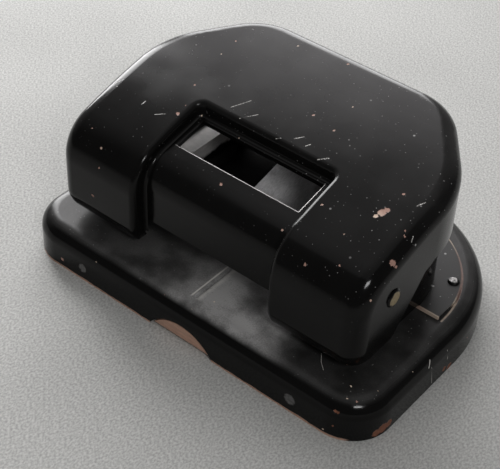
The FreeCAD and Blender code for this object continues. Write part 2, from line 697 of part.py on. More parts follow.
def make_paper_stop():
    """An angle strip; the paper's edge meets its front face."""
    face_rear = f"{STOP_Y} + stop_sheet"
    foot_rear = f"{face_rear} + stop_foot"
    face_half, foot_half = half_in_frame(face_rear), half_in_frame(foot_rear)
    face = block("stop_face", (f"-{face_half}", STOP_Y, "base_height"),
                 (face_half, face_rear, f"{PLATE_Z} + plate_sheet + stop_sheet"))
    foot = block("stop_foot_strip", (f"-{foot_half}", STOP_Y, "base_height"),
                 (foot_half, foot_rear, "base_height + stop_sheet"))
    holes = [cylinder(f"stop_hole_{name}", "rivet_radius", "base_height", x, y, "base_height / 2")
             for name, x, y in stop_rivet_places()]
    return cut("paper_stop", fuse("stop_angle", face, foot), *holes)


def make_stop_rivets():
    low, high = "base_height - base_sheet", "base_height + stop_sheet"
    rivets = [make_rivet(name, x, y, low, high) for name, x, y in stop_rivet_places()]
    return group("paper_stop_rivets", *rivets)


# ---------------------------------------------------------------- hood

def hood_profile(body, label, inset):
    """The side view: front face, crown arc and rear face."""
    front, rear = f"hood_front + ({inset})", f"hood_rear - ({inset})"
    foot = f"hood_lip + ({inset})"
    high_front, high_rear = f"crown_front - ({inset})", f"crown_rear - ({inset})"
    sketch = on_plane(body, "YZ_Plane", label + "_profile")
    spots = [FreeCAD.Vector(value(y), value(z), 0) for y, z in
             ((front, foot), (rear, foot), (rear, high_rear), (front, high_front))]
    for first, last in ((0, 1), (1, 2), (3, 0)):
        sketch.addGeometry(Part.LineSegment(spots[first], spots[last]))
    chord = spots[2] - spots[3]
    radius = value(f"crown_radius - ({inset})")
    sag = radius - (radius ** 2 - chord.Length ** 2 / 4) ** 0.5
    normal = FreeCAD.Vector(-chord.y, chord.x, 0).normalize()
    top = (spots[2] + spots[3]) * 0.5 + normal * sag
    arc = sketch.addGeometry(Part.Arc(spots[2], top, spots[3]))
    crown_start, crown_end = START, END
    if sketch.getPoint(arc, START).distanceToPoint(spots[2]) > SLIM:
        crown_start, crown_end = END, START
    for first, first_end, last, last_end in ((0, END, 1, START), (1, END, arc, crown_start),
                                             (arc, crown_end, 2, START), (2, END, 0, START)):
        sketch.addConstraint(Sketcher.Constraint("Coincident", first, first_end, last, last_end))
    for line, end, y, z in ((0, START, front, foot), (0, END, rear, foot),
                            (1, END, rear, high_rear), (2, START, front, high_front)):
        tie(sketch, "DistanceX", y, ORIGIN, START, line, end)
        tie(sketch, "DistanceY", z, ORIGIN, START, line, end)
    tie(sketch, "Radius", f"crown_radius - ({inset})", arc)
    return sketch


def on_side(half):
    """A test for edges that lie in either side face of a form."""
    reach = value(half)

    def test(edge):
        box = edge.BoundBox
        return box.XLength < SLIM and abs(abs(box.XMin) - reach) < SLIM
    return test


def trim_rear_corners(body, label, inset):
    """Slant both rear corners and round where the slant meets side and rear."""
    half, rear = f"(hood_half_width - ({inset}))", f"(hood_rear - ({inset}))"
    start = f"(hood_slant_start - ({inset}) * tan(hood_slant / 2))"
    end = f"({half} - ({rear} - {start}) * tan(hood_slant))"
    for side, sign in (("left", "-"), ("right", "")):
        far_x, far_y = f"{sign}({half} + {CLEAR})", f"{rear} + {CLEAR}"
        corner = [(f"{sign}{half}", start), (f"{sign}{end}", rear), (f"{sign}{end}", far_y),
                  (far_x, far_y), (far_x, start)]
        plan = outline(body, "XY_Plane", f"{label}_{side}", corner)
        pocket(body, plan, "crown_rear * 3", symmetric=True)
    for name, radius, depth in (("side", "hood_side_arc", start), ("rear", "hood_rear_arc", rear)):
        line = value(depth)
        fillet(body, f"{label}_{name}_arc", f"{radius} - ({inset})",
               lambda edge, y=line: upright(edge) and abs(edge.BoundBox.YMin - y) < SLIM)


def panel_line(inset):
    """The height of the panel's top plane at a given depth."""
    front, rear = value(f"panel_front + ({inset})"), value(f"panel_rear + ({inset})")
    low, high = value(f"panel_crown_front - ({inset})"), value(f"panel_crown_rear - ({inset})")
    return lambda y: low + (high - low) * (y - front) / (rear - front)


def sink_panel(body, label, inset):
    """Sink the middle panel and round the flanks that lead down to it."""
    half = f"panel_half_width + ({inset})"
    front, rear = f"panel_front + ({inset})", f"panel_rear + ({inset})"
    panel = [(f"hood_front - {CLEAR}", "0"), (front, "0"), (front, f"panel_crown_front - ({inset})"),
             (rear, f"panel_crown_rear - ({inset})"), (rear, f"crown_rear + {CLEAR}"),
             (f"hood_front - {CLEAR}", f"crown_rear + {CLEAR}")]
    pocket(body, outline(body, "YZ_Plane", label, panel), f"2 * ({half})", symmetric=True)
    fillet(body, label + "_round", f"panel_round - ({inset})",
           along_x_at(front, f"panel_crown_front - ({inset})"))
    flank, depth, height = value(half), value(rear), panel_line(inset)
    fillet(body, label + "_corners", f"flank_corner + ({inset})",
           lambda edge: upright(edge) and abs(edge.BoundBox.YMin - depth) < SLIM)

    def crest(edge):
        box = edge.BoundBox
        inside = abs(abs(box.XMin) - flank) < SLIM or abs(box.YMin - depth) < SLIM
        thin = box.XLength < SLIM or box.YLength < SLIM
        middle = box.Center
        return inside and thin and (middle.y < value(front) - 1 or middle.z > height(middle.y) + 1)
    fillet(body, label + "_crest", f"flank_round - ({inset})", crest)

    def foot(edge):
        box = edge.BoundBox
        middle = box.Center
        inside = abs(abs(box.XMin) - flank) < SLIM and box.XLength < SLIM
        return inside and abs(middle.y - value(front)) < SLIM and box.YLength < SLIM
    fillet(body, label + "_foot", f"flank_foot_round + ({inset})", foot)


def hood_form(label, inset):
    """The hood as a full form, drawn in by an inset."""
    made = new_body(label)
    half = f"hood_half_width - ({inset})"
    pad(made, hood_profile(made, label, inset), f"2 * ({half})", symmetric=True)
    front = f"hood_front + ({inset})"
    fillet(made, label + "_nose", f"nose_round - ({inset})",
           along_x_at(front, f"crown_front - ({inset})"))
    fillet(made, label + "_lip", f"lip_round - ({inset})",
           along_x_at(front, f"hood_lip + ({inset})"))
    trim_rear_corners(made, label + "_corner", inset)
    sides, face = on_side(half), value(front)
    fillet(made, label + "_edges", f"hood_edge_round - ({inset})",
           lambda edge: sides(edge) and not (upright(edge) and edge.BoundBox.YMin > face + SLIM))
    sink_panel(made, label + "_panel", inset)
    return made


def make_skirt_tool():
    """What is cut away below the cheeks and the skirt."""
    made = new_body("skirt_tool")
    far = f"hood_rear + {CLEAR}"
    corners = [("lip_rear", "0"), (far, "0"), (far, "skirt_foot + skirt_rise"),
               ("skirt_start", "skirt_foot"), ("cheek_rear", "cheek_rear_foot"),
               ("lip_rear", "cheek_front_foot")]
    sketch = outline(made, "YZ_Plane", "skirt_side", corners)
    pad(made, sketch, f"2 * hood_half_width + {CLEAR}", symmetric=True)
    for name, radius, y, z in (("start", "skirt_round", "skirt_start", "skirt_foot"),
                               ("cheek", "cheek_round", "cheek_rear", "cheek_rear_foot")):
        fillet(made, f"skirt_{name}", radius, along_x_at(y, z))
    return made


def lip_corner_tool(side, sign):
    """Rounds the lower inner corner of a bulge."""
    inner, outer = "panel_half_width - flank_round", "panel_half_width + lip_corner"
    low, high = (inner, outer) if sign == "" else (f"-({outer})", f"-({inner})")
    corner = block(f"lip_corner_{side}", (low, f"hood_front - {CLEAR}", f"hood_lip - {CLEAR}"),
                   (high, "lip_rear", "hood_lip + lip_corner"))
    round_off = cylinder(f"lip_round_{side}", "lip_corner", "base_depth", f"{sign}({outer})",
                         f"-{BASE_Y}", "hood_lip + lip_corner", ALONG_Y)
    return cut(f"lip_corner_tool_{side}", corner, round_off)


def make_hood():
    shell = cut("hood_shell", hood_form("hood_outer", "0"), hood_form("hood_inner", "hood_sheet"))
    tools = [make_skirt_tool()] + both_sides(lip_corner_tool)
    inner_half = "panel_half_width + hood_sheet"
    tools.append(block("panel_gap", (f"-({inner_half})", "panel_front", "0"),
                       (inner_half, "lip_rear", "panel_foot")))
    cheek = "frame_half_width + cheek_play"
    tools.append(block("hood_open_foot", (f"-({cheek})", "lip_rear", "0"),
                       (cheek, "cheek_rear", "cheek_rear_foot")))
    tools.append(block("window_tool", ("-window_half_width", "window_front", "skirt_foot"),
                       ("window_half_width", "window_rear", "crown_rear")))
    tools.append(cylinder("hood_pivot_hole", "pivot_radius + pivot_play", "base_length",
                          f"-{BASE_X}", "pivot_line", "pivot_height", ALONG_X))
    return cut("hood_lever", shell, *tools)


def make_press_bracket(side, sign):
    """A channel inside the hood that presses on a punch head."""
    made = new_body(f"bracket_channel_{side}")
    front, rear = "punch_line - bracket_half_depth", "punch_line + bracket_half_depth"
    foot = "head_top + press_gap"
    floor, top = f"{foot} + bracket_sheet", "crown_rear"
    corners = [(front, foot), (rear, foot), (rear, top), (f"{rear} - bracket_sheet", top),
               (f"{rear} - bracket_sheet", floor), (f"{front} + bracket_sheet", floor),
               (f"{front} + bracket_sheet", top), (front, top)]
    sketch = outline(made, "YZ_Plane", f"bracket_side_{side}", corners)
    pad(made, sketch, "2 * bracket_half_width", symmetric=True)
    move(made, f"{sign}{PUNCH_X}")
    fitted = doc.addObject("Part::Common", f"press_bracket_{side}")
    fitted.Base = made
    fitted.Tool = doc.getObject("hood_inner")
    fitted.Label = f"press_bracket_{side}"
    return fitted


# ---------------------------------------------------------------- pivot

def lay_on_pivot(made, sign):
    """Turn a piece made along Z so that it points outwards on the pivot line."""
    turn = FreeCAD.Rotation(FreeCAD.Vector(0, 1, 0), -90 if sign else 90)
    made.Placement = FreeCAD.Placement(FreeCAD.Vector(), turn)
    return move(made, "0", "pivot_line", "pivot_height")


def make_pivot_pin(side, sign):
    """A riveted pin: tail inside the frame's ear, head outside the hood."""
    ear, cheek = "frame_half_width - frame_sheet", "hood_half_width + washer_play"
    tail, crown = f"{ear} - pivot_head_height", f"{cheek} + pivot_head_height"
    profile = [("0", tail), ("pivot_head", tail), ("pivot_head", ear), ("pivot_radius", ear),
               ("pivot_radius", cheek), ("pivot_head", cheek),
               ("pivot_head * 0.85", f"{cheek} + pivot_head_height * 0.7"),
               ("pivot_head * 0.4", crown), ("0", crown)]
    return lay_on_pivot(turned(f"pivot_pin_{side}", profile), sign)


def make_pivot_washer(side, sign):
    """The spacer between the frame's ear and the hood."""
    low = "frame_half_width + washer_play"
    high = f"{low} + washer_thickness"
    bore = "pivot_radius + pivot_play"
    profile = [(bore, low), ("washer_radius", low), ("washer_radius", high), (bore, high)]
    return lay_on_pivot(turned(f"pivot_washer_{side}", profile), sign)


# ---------------------------------------------------------------- punches and springs

HEAD_SHARES = (1.0, 0.75, 0.5, 0.25)    # where the dome's facets meet, of the head's radius


def make_punch(side, sign):
    """A punch pin with a domed head."""
    tip = f"{PLATE_Z} + tip_lift"
    shoulder = "collar_height + collar_thickness"
    profile = [("0", f"{tip} + punch_radius * 0.4"), ("punch_radius", tip),
               ("punch_radius", shoulder), ("head_radius", shoulder)]
    for share in HEAD_SHARES:
        reach = f"(head_radius * {share})"
        profile.append((reach, f"head_top - head_dome + sqrt(head_dome ^ 2 - {reach} ^ 2)"))
    profile.append(("0", "head_top"))
    return turned(f"punch_pin_{side}", profile, f"{sign}{PUNCH_X}", "punch_line")


def make_collar(side, sign):
    """The washer under the head that the spring lifts."""
    top = "collar_height + collar_thickness"
    profile = [("punch_radius", "collar_height"), ("collar_radius", "collar_height"),
               ("collar_radius", top), ("punch_radius", top)]
    return turned(f"spring_collar_{side}", profile, f"{sign}{PUNCH_X}", "punch_line")


def make_coil(side, sign):
    """The compression spring between tower and collar."""
    made = new_body(f"punch_spring_{side}")
    sketch = on_plane(made, "XZ_Plane", f"coil_section_{side}")
    middle = FreeCAD.Vector(value("coil_radius"), value("tower_height + coil_wire"), 0)
    sketch.addGeometry(Part.Circle(middle, FreeCAD.Vector(0, 0, 1), value("coil_wire")))
    tie(sketch, "DistanceX", "coil_radius", ORIGIN, START, 0, CENTRE)
    tie(sketch, "DistanceY", "tower_height + coil_wire", ORIGIN, START, 0, CENTRE)
    tie(sketch, "Radius", "coil_wire", 0)
    helix = made.newObject("PartDesign::AdditiveHelix", f"coil_{side}")
    helix.Profile = sketch
    helix.ReferenceAxis = (sketch, ["V_Axis"])
    helix.Mode = "height-turns-angle"
    set_size(helix, Height="collar_height - coil_play - tower_height - 2 * coil_wire",
             Turns="coil_turns")
    doc.recompute()
    return move(made, f"{sign}{PUNCH_X}", "punch_line")


# ---------------------------------------------------------------- lever spring

LEAF_FOOT_Y = "bridge_front + stop_play"
LEAF_RIVET_Y = f"{LEAF_FOOT_Y} + leaf_foot / 2"


def make_leaf_spring():
    """A bowed flat spring between the bridge and the hood."""
    made = new_body("leaf_spring")
    path = on_plane(made, "YZ_Plane", "leaf_path")
    start = FreeCAD.Vector(value(LEAF_FOOT_Y), value("bridge_height + leaf_sheet / 2"), 0)
    turn = FreeCAD.Rotation(FreeCAD.Vector(0, 0, 1), value("leaf_rise"))
    across = FreeCAD.Vector(1, 0, 0)
    bend = FreeCAD.Vector(0, value("leaf_foot_bend"), 0)
    bow = FreeCAD.Vector(0, value("leaf_bow"), 0)

    def swing(centre, arm, angle):
        return centre - FreeCAD.Rotation(FreeCAD.Vector(0, 0, 1), angle).multVec(arm)
    rise, tip = value("leaf_rise"), 180 + value("leaf_tip_angle")
    foot_end = start + across * value("leaf_foot")
    low = foot_end + bend
    low_end = swing(low, bend, rise)
    arm_end = low_end + turn.multVec(across) * value("leaf_arm")
    high = arm_end + turn.multVec(bow)
    bow_end = swing(high, bow, tip)
    tip_turn = FreeCAD.Rotation(FreeCAD.Vector(0, 0, 1), tip)
    tip_end = bow_end + tip_turn.multVec(across) * value("leaf_tip")
    path.addGeometry(Part.LineSegment(start, foot_end))
    path.addGeometry(Part.Arc(foot_end, swing(low, bend, rise / 2), low_end))
    path.addGeometry(Part.LineSegment(low_end, arm_end))
    path.addGeometry(Part.Arc(arm_end, swing(high, bow, (rise + tip) / 2), bow_end))
    path.addGeometry(Part.LineSegment(bow_end, tip_end))
    for first in range(4):
        path.addConstraint(Sketcher.Constraint("Tangent", first, END, first + 1, START))
    path.addConstraint(Sketcher.Constraint("Horizontal", 0))
    tie(path, "DistanceX", LEAF_FOOT_Y, ORIGIN, START, 0, START)
    tie(path, "DistanceY", "bridge_height + leaf_sheet / 2", ORIGIN, START, 0, START)
    tie(path, "Distance", "leaf_foot", 0)
    tie(path, "Radius", "leaf_foot_bend", 1)
    tie(path, "Distance", "leaf_arm", 2)
    tie(path, "Radius", "leaf_bow", 3)
    tie(path, "Distance", "leaf_tip", 4)
    for line, angle in ((2, "leaf_rise"), (4, "180 + leaf_tip_angle")):
        slope = Sketcher.Constraint("Angle", line, math.radians(value(angle)))
        number = path.addConstraint(slope)
        path.setExpression(f"Constraints[{number}]", f"({bound(angle)}) * 1 deg")
    section = outline(made, "XZ_Plane", "leaf_section",
                      rectangle("-leaf_half_width", "bridge_height", "leaf_half_width",
                                "bridge_height + leaf_sheet"), f"-({LEAF_FOOT_Y})")
    sweep = made.newObject("PartDesign::AdditivePipe", "leaf_strip")
    sweep.Profile = section
    sweep.Spine = (path, [])
    doc.recompute()
    holes = [cylinder(f"leaf_hole_{side}", "rivet_radius * 0.8", "leaf_sheet * 4",
                      f"{sign}leaf_rivet_place", LEAF_RIVET_Y, "bridge_height - leaf_sheet")
             for side, sign in (("left", "-"), ("right", ""))]
    return cut("lever_leaf_spring", made, *holes)


def make_leaf_rivets():
    low, high = "bridge_height - frame_sheet", "bridge_height + leaf_sheet"
    rivets = [make_rivet(f"leaf_{side}", f"{sign}leaf_rivet_place", LEAF_RIVET_Y, low, high, 0.8)
              for side, sign in (("left", "-"), ("right", ""))]
    return group("leaf_spring_rivets", *rivets)


# ---------------------------------------------------------------- assembly

def build_all():
    """Every sub-part, by the name of its file."""
    parts = [make_base()]
    parts += both_sides(make_die)
    parts.append(make_cover())
    parts.append(group("cover_hinge_lugs", *both_sides(make_hinge_lug)))
    parts.append(make_hinge_wire())
    parts.append(make_frame())
    parts.append(make_frame_rivets())
    parts.append(make_guide_plate())
    parts += both_sides(make_bush)
    parts.append(make_paper_stop())
    parts.append(make_stop_rivets())
    parts.append(make_hood())
    parts += both_sides(make_press_bracket)
    parts += both_sides(make_pivot_pin)
    parts.append(group("pivot_washers", *both_sides(make_pivot_washer)))
    parts += both_sides(make_punch)
    parts += both_sides(make_collar)
    parts += both_sides(make_coil)
    parts.append(make_leaf_spring())
    parts.append(make_leaf_rivets())
    return parts


def check(parts):
    """Stop if any object failed or any sub-part is not a sound solid."""
    for item in doc.Objects:
        if "Invalid" in item.State or "Error" in item.State:
            raise RuntimeError(f"{item.Label} failed: {item.State}")
    for item in parts:
        if item.Shape.isNull() or not item.Shape.isValid() or not item.Shape.Solids:
            raise RuntimeError(item.Label + " is not a sound solid")


made_parts = build_all()
doc.recompute()
check(made_parts)
os.makedirs("parts", exist_ok=True)
for item in made_parts:
    item.Shape.exportStep(f"parts/{item.Label}.step")
    print(f"{item.Label}: {len(item.Shape.Solids)} solid(s), {item.Shape.Volume:.1f} mm3")
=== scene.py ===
import math

import bmesh
import bpy
from mathutils import Matrix, Vector
from mathutils.bvhtree import BVHTree


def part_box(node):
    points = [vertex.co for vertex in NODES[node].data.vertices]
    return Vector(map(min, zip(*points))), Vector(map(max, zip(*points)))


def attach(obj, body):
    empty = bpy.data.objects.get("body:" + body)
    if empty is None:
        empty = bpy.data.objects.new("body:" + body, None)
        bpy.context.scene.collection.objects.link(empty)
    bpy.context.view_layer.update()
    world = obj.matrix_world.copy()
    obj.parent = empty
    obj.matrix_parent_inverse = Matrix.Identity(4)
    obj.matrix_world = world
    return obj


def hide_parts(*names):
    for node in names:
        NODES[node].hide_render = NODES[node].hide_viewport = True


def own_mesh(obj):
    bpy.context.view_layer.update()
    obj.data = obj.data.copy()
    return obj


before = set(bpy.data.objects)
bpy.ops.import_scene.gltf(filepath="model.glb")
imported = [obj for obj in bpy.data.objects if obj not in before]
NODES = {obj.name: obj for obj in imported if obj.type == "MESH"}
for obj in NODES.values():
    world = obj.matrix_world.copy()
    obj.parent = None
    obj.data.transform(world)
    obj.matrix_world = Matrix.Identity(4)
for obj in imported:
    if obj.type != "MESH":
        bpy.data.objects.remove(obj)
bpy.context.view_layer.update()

bl_info = {
    "name": "Desk paper punch",
    "version": (1, 0, 0),
    "blender": (4, 5, 0),
    "location": "View3D > Sidebar > Punch",
    "description": "Dresses a two-hole desk paper punch: lacquered shells, steel works and springs",
    "category": "Object",
}

MM = 0.001
MERGE = 1e-6             # vertices closer than this are one
FLAT = math.radians(0.05)
CREASE = math.radians(40)
FACE_LEAD = 60           # how far large faces lead the shading
LEAF_RIM = 0.1 * MM
PRIMER = (0.52, 0.31, 0.25)
# also the pale of the painted glint at the window's top-left corner
PALE_CHIP_AND_GLINT = (0.86, 0.70, 0.56)
# also the colour of the painted highlights along the base's centre mark
PALE_SCRATCH_AND_HIGHLIGHT = (0.62, 0.60, 0.57)
STEEL = (0.62, 0.60, 0.59)
COPPER = (0.92, 0.60, 0.46)
RUST_DARK = (0.10, 0.035, 0.02)
RUST_LIGHT = (0.30, 0.13, 0.08)

LACQUER_SPECULAR = 0.17
HEAD_LACQUER_SPECULAR = 0.2
BARE_ROUGHNESS = 0.5
CHIP_DEPTH = 0.05        # mm, of chip and scratch marks, and of the painted glints and highlights among them
EDGE_WANDER = 0.9        # mm, how ragged the edge of a chip is
SCRATCH_WANDER = 0.12    # mm
ALONG_Y = (0, 0, 1.57)
ALONG_Z = (0, math.radians(90), 0)

# Where wear and the painted highlights and glints set in, in mm of the punch's own frame: first
# where there is none, then where it is full.
HOOD_CROWN = (43.0, 51.0)             # z, rubbed and hazy above
HOOD_DUST_RISE = (36.0, 44.0)         # z, little dust on the walls
HOOD_DUST_SPREAD = (-14.0, 20.0)      # x, more dust at the right
WINDOW_EDGE = ((0.24, 0.08), (-0.2, -0.05))    # outwards from the window's edge
WINDOW_SHEET = (41.0, 41.6)           # z of the sheet at the window
WINDOW_LEFT_FADE = 0.8                # past the window's left end
WINDOW_REAR_FADE = 0.6                # past the window's rear edge
STAIN = ((24.0, 30.0), (-30.0, -33.0), (22.0, 16.0))    # x, y, z of the stained corner
BASE_TOP = (10.6, 11.8)               # z
BASE_HAZE = ((-46.0, -8.0), (34.0, 12.0))      # x, from the left and from the right
MARK_HAZE = ((-12.0, 2.0), (34.0, 18.0))       # x, beside the centre mark
MARK_HIGHLIGHT = ((-1.45, -1.3), (-0.9, -1.05))     # x, the painted highlight on the mark's left flank
MARK_WEAR_AND_HIGHLIGHT = ((0.2, 0.5), (2.4, 1.1))          # x, the mark's right flank: wear and a painted highlight
MARK_ENDS = ((-35.9, -34.9), (-13.5, -14.5))   # y
FOOT_EDGE = (0.1, -0.1)               # z above the uneven line of the bare foot
FOOT_FRONT = (-38.6, -39.8)           # y
FLANGE_DIRT = ((0.6, 0.25), (-0.1, 0.0))       # outwards from the flange's outline
FLANGE_START = (-0.6, -0.2)           # y
FLANGE_EDGE = (-0.45, -0.15)          # outwards from the flange's outline
FLANGE_TOP = (13.4, 12.8)             # z, the rounded edge left out
FLANGE_FACE = (13.6, 13.1)            # z
FLANGE_NOSE = (0.1, -0.2)             # y
TOWER_HALF = (33.0, 31.0)             # from the middle in x
TOWER_REAR = (15.0, 11.0)             # y
TOWER_BARE = (24.3, 25.8)             # z
LIP_FRONT = (-38.6, -39.6)            # y
LIP_HALF = (11.5, 10.8)               # from the middle in x
COVER_FLOOR = (1.2, 0.8)              # z
PIN_HEAD = (2.7, 2.2)                 # from the pin's axis
RIVET_TOP = (-0.2, 0.1)               # z from the top of the heads, where the painted glint sets in

WINDOW_HALF = 19.6                    # mm
WINDOW_DEPTH = 10.2                   # mm, from the punching line to the front

COIL_SIDES = 10
COIL_STEPS = 28                       # for each turn
CLOSED_PITCH = 2.05                   # rise of a closed turn, in wire radii

TABLE_REACH = 4.0                     # m, from the middle to an edge
# Each lamp's setting, width, depth and place, in metres.
LAMPS = {
    "Window light": ("window_power", 0.17, 0.54, (-0.566, 0.252, 0.29)),
    "Rear light": ("rear_power", 0.36, 0.34, (-0.364, 0.502, 0.22)),
    "Ceiling light": ("ceiling_power", 1.0, 1.0, (0.0, 0.0, 0.90)),
    "Fill light": ("fill_power", 0.12, 0.09, (0.36, -0.26, 0.40)),
}
LAMP_TARGET = (0.0, 0.0, 0.02)
WINDOW_HEADING = (-0.603, 0.583, 0.545)
ROOM_FAR = (0.11, 0.11, 0.11)
ROOM_NEAR = (0.42, 0.41, 0.41)
WINDOW_GLOW = (3.1, 3.0, 3.05)
ROOM_RISE = (0.25, 0.8)               # cosines off the window's heading
GLOW_RISE = (0.915, 0.985)

# Marks in the lacquer. Each place is a pixel of the main view, 500 x 469; radii and widths
# are in mm.
HOOD_CHIPS_AND_GLINT = (
    (177.7, 113.6, 0.50), (185.7, 105.3, 0.14), (313.4, 115.1, 0.33), (334.1, 130.5, 0.27),
    # (202.0, 116.0), at the window's top-left corner, is a painted highlight on a small bare spot.
    (221.0, 184.4, 0.37), (282.7, 230.0, 0.34), (238.8, 138.0, 0.20), (202.0, 116.0, 0.24),
    (321.6, 205.0, 0.31), (305.1, 264.7, 0.37), (376.0, 216.0, 0.55), (382.0, 212.4, 1.00),
    (387.0, 210.0, 0.65), (392.7, 263.0, 0.80), (396.0, 267.0, 0.41), (370.8, 300.7, 0.31),
    (344.0, 234.3, 0.17), (339.6, 265.5, 0.27), (404.0, 194.0, 0.34), (195.0, 85.0, 0.27),
    (353.0, 107.0, 0.24), (99.4, 168.3, 0.24), (101.0, 148.0, 0.34), (92.0, 128.0, 0.20),
    (93.0, 196.0, 0.37), (405.0, 230.7, 0.24), (404.3, 236.0, 0.27), (236.0, 41.0, 0.20),
    (298.0, 46.0, 0.22), (348.0, 64.0, 0.31), (221.0, 54.0, 0.24),
)
HOOD_SCRATCHES = (
    (231.4, 107.1, 251.4, 100.6, 0.14), (240.0, 118.3, 258.3, 114.5, 0.14),
    (155.0, 114.4, 166.0, 113.6, 0.11), (318.1, 159.6, 329.3, 158.1, 0.22),
    (294.9, 138.6, 304.5, 136.6, 0.16), (276.2, 138.6, 281.5, 137.8, 0.12),
    (305.7, 146.0, 310.8, 144.3, 0.16), (417.5, 205.8, 425.8, 202.5, 0.20),
    (411.7, 242.0, 413.5, 236.0, 0.18), (107.0, 90.0, 118.0, 86.0, 0.12),
    (116.0, 83.0, 124.0, 79.0, 0.12), (142.0, 104.0, 146.0, 101.0, 0.16),
)
BASE_CHIPS = (
    (62.3, 259.3, 0.50), (350.9, 386.2, 0.24), (347.0, 398.5, 0.17), (357.0, 401.8, 0.24),
    (323.0, 429.0, 0.24), (467.3, 337.6, 0.21), (96.0, 262.0, 0.17), (165.0, 295.0, 0.15),
    (214.0, 302.0, 0.17), (192.0, 309.0, 0.14), (378.0, 391.0, 0.15), (413.0, 372.0, 0.14),
)
BASE_SCRATCHES = (
    (321.4, 353.6, 321.2, 362.0, 0.10), (321.2, 362.0, 323.4, 370.0, 0.08),
    (429.9, 360.0, 428.9, 368.0, 0.22), (431.6, 367.5, 431.6, 383.0, 0.10),
    (447.4, 350.0, 447.4, 359.2, 0.12),
)
BASE_RUST = (
    (376.5, 433.0, 1.2), (383.0, 428.0, 1.5), (389.0, 423.0, 1.2), (444.0, 369.0, 0.8),
    (449.0, 366.0, 1.0), (335.0, 411.3, 0.4), (338.0, 412.6, 0.35), (333.0, 426.0, 0.3),
)
DIMPLES = ((82.8, 268.0, 1.3), (289.9, 399.0, 1.6))


# ---------------------------------------------------------------- settings

def colour(name, description, default):
    return bpy.props.FloatVectorProperty(name=name, description=description, subtype="COLOR",
                                         size=3, min=0, max=1, default=default)


def share(name, description, default):
    return bpy.props.FloatProperty(name=name, description=description, subtype="FACTOR",
                                   min=0, max=1, default=default)


def length(name, description, default):
    return bpy.props.FloatProperty(name=name, description=description, unit="LENGTH",
                                   min=0, default=default)


class LacquerSettings(bpy.types.PropertyGroup):
    tint: colour("Lacquer", "Colour of the stoving lacquer", (0.0024, 0.0023, 0.0022))
    dust: colour("Dust", "Colour of the dust on the lacquer", (0.34, 0.335, 0.33))
    gloss_roughness: share("Gloss roughness", "Roughness of clean lacquer", 0.13)
    dull_roughness: share("Dull roughness", "Roughness where the lacquer is rubbed and dusty", 0.42)
    rim: length("Rim", "Rounding of the sheet edges", 0.2 * MM)


class SteelSettings(bpy.types.PropertyGroup):
    bare: colour("Bare steel", "Colour of the dull sheet steel", (0.36, 0.35, 0.335))
    ground: colour("Ground steel", "Colour of the ground pins and dies", (0.46, 0.45, 0.44))
    spring: colour("Spring steel", "Colour of the flat and coiled springs", (0.40, 0.395, 0.40))
    leaf: colour("Leaf spring", "Colour of the dull leaf spring", (0.70, 0.69, 0.70))
    brass: colour("Pin heads", "Colour of the tarnished pin heads", (0.36, 0.29, 0.18))
    wire: length("Wire", "Radius of the spring wire", 0.35 * MM)
    turns: bpy.props.FloatProperty(name="Turns", description="Free turns of a punch spring",
                                   min=1, max=8, default=2.8)


class StageSettings(bpy.types.PropertyGroup):
    place: bpy.props.FloatVectorProperty(name="Camera", description="Where the camera stands",
                                         subtype="TRANSLATION", unit="LENGTH", size=3,
                                         default=(0.15712, -0.21753, 0.24402))
    azimuth: bpy.props.FloatProperty(name="Azimuth", subtype="ANGLE",
                                     description="Turn of the camera from the front",
                                     default=math.radians(37.589))
    elevation: bpy.props.FloatProperty(name="Elevation", description="Height angle of the camera",
                                       subtype="ANGLE", default=math.radians(41.114))
    roll: bpy.props.FloatProperty(name="Roll", description="Tilt of the camera on its own axis",
                                  subtype="ANGLE", default=math.radians(2.88))
    lens: bpy.props.FloatProperty(name="Lens", description="Focal length on a 36 mm sensor",
                                  unit="CAMERA", default=93.43)
    floor: colour("Floor", "Colour of the table top", (0.455, 0.455, 0.442))
    window_power: bpy.props.FloatProperty(name="Window light", unit="POWER", default=3.6,
                                          description="Strength of the bright window at the left")
    rear_power: bpy.props.FloatProperty(name="Rear light", unit="POWER", default=2.4,
                                        description="Strength of the wide light at the rear")
    ceiling_power: bpy.props.FloatProperty(name="Ceiling light", unit="POWER", default=0.9,
                                           description="Strength of the soft light overhead")
    fill_power: bpy.props.FloatProperty(name="Fill light", unit="POWER", default=0.8,
                                        description="Strength of the small light beside the camera")


# ---------------------------------------------------------------- main view

VIEW_SIZE = (500, 469)
SENSOR = 36.0


def view_axes():
    """The camera's right, up and back directions."""
    stage = bpy.context.scene.punch_stage
    turn, rise, roll = stage.azimuth, stage.elevation, stage.roll
    back = Vector((math.sin(turn) * math.cos(rise), -math.cos(turn) * math.cos(rise),
                   math.sin(rise)))
    level = Vector((math.cos(turn), math.sin(turn), 0))
    upright = back.cross(level)
    right = level * math.cos(roll) + upright * math.sin(roll)
    up = upright * math.cos(roll) - level * math.sin(roll)
    return right, up, back


def place_in_view(tree, x, y):
    """Where the line of sight through a pixel meets a piece, in mm."""
    stage = bpy.context.scene.punch_stage
    right, up, back = view_axes()
    focal = stage.lens / SENSOR * VIEW_SIZE[0]
    sight = right * (x - VIEW_SIZE[0] / 2) + up * (VIEW_SIZE[1] / 2 - y) - back * focal
    hit = tree.ray_cast(Vector(stage.place), sight.normalized())[0]
    if hit is None:
        raise RuntimeError(f"nothing stands at pixel {x}, {y}")
    return hit / MM


# ---------------------------------------------------------------- node trees

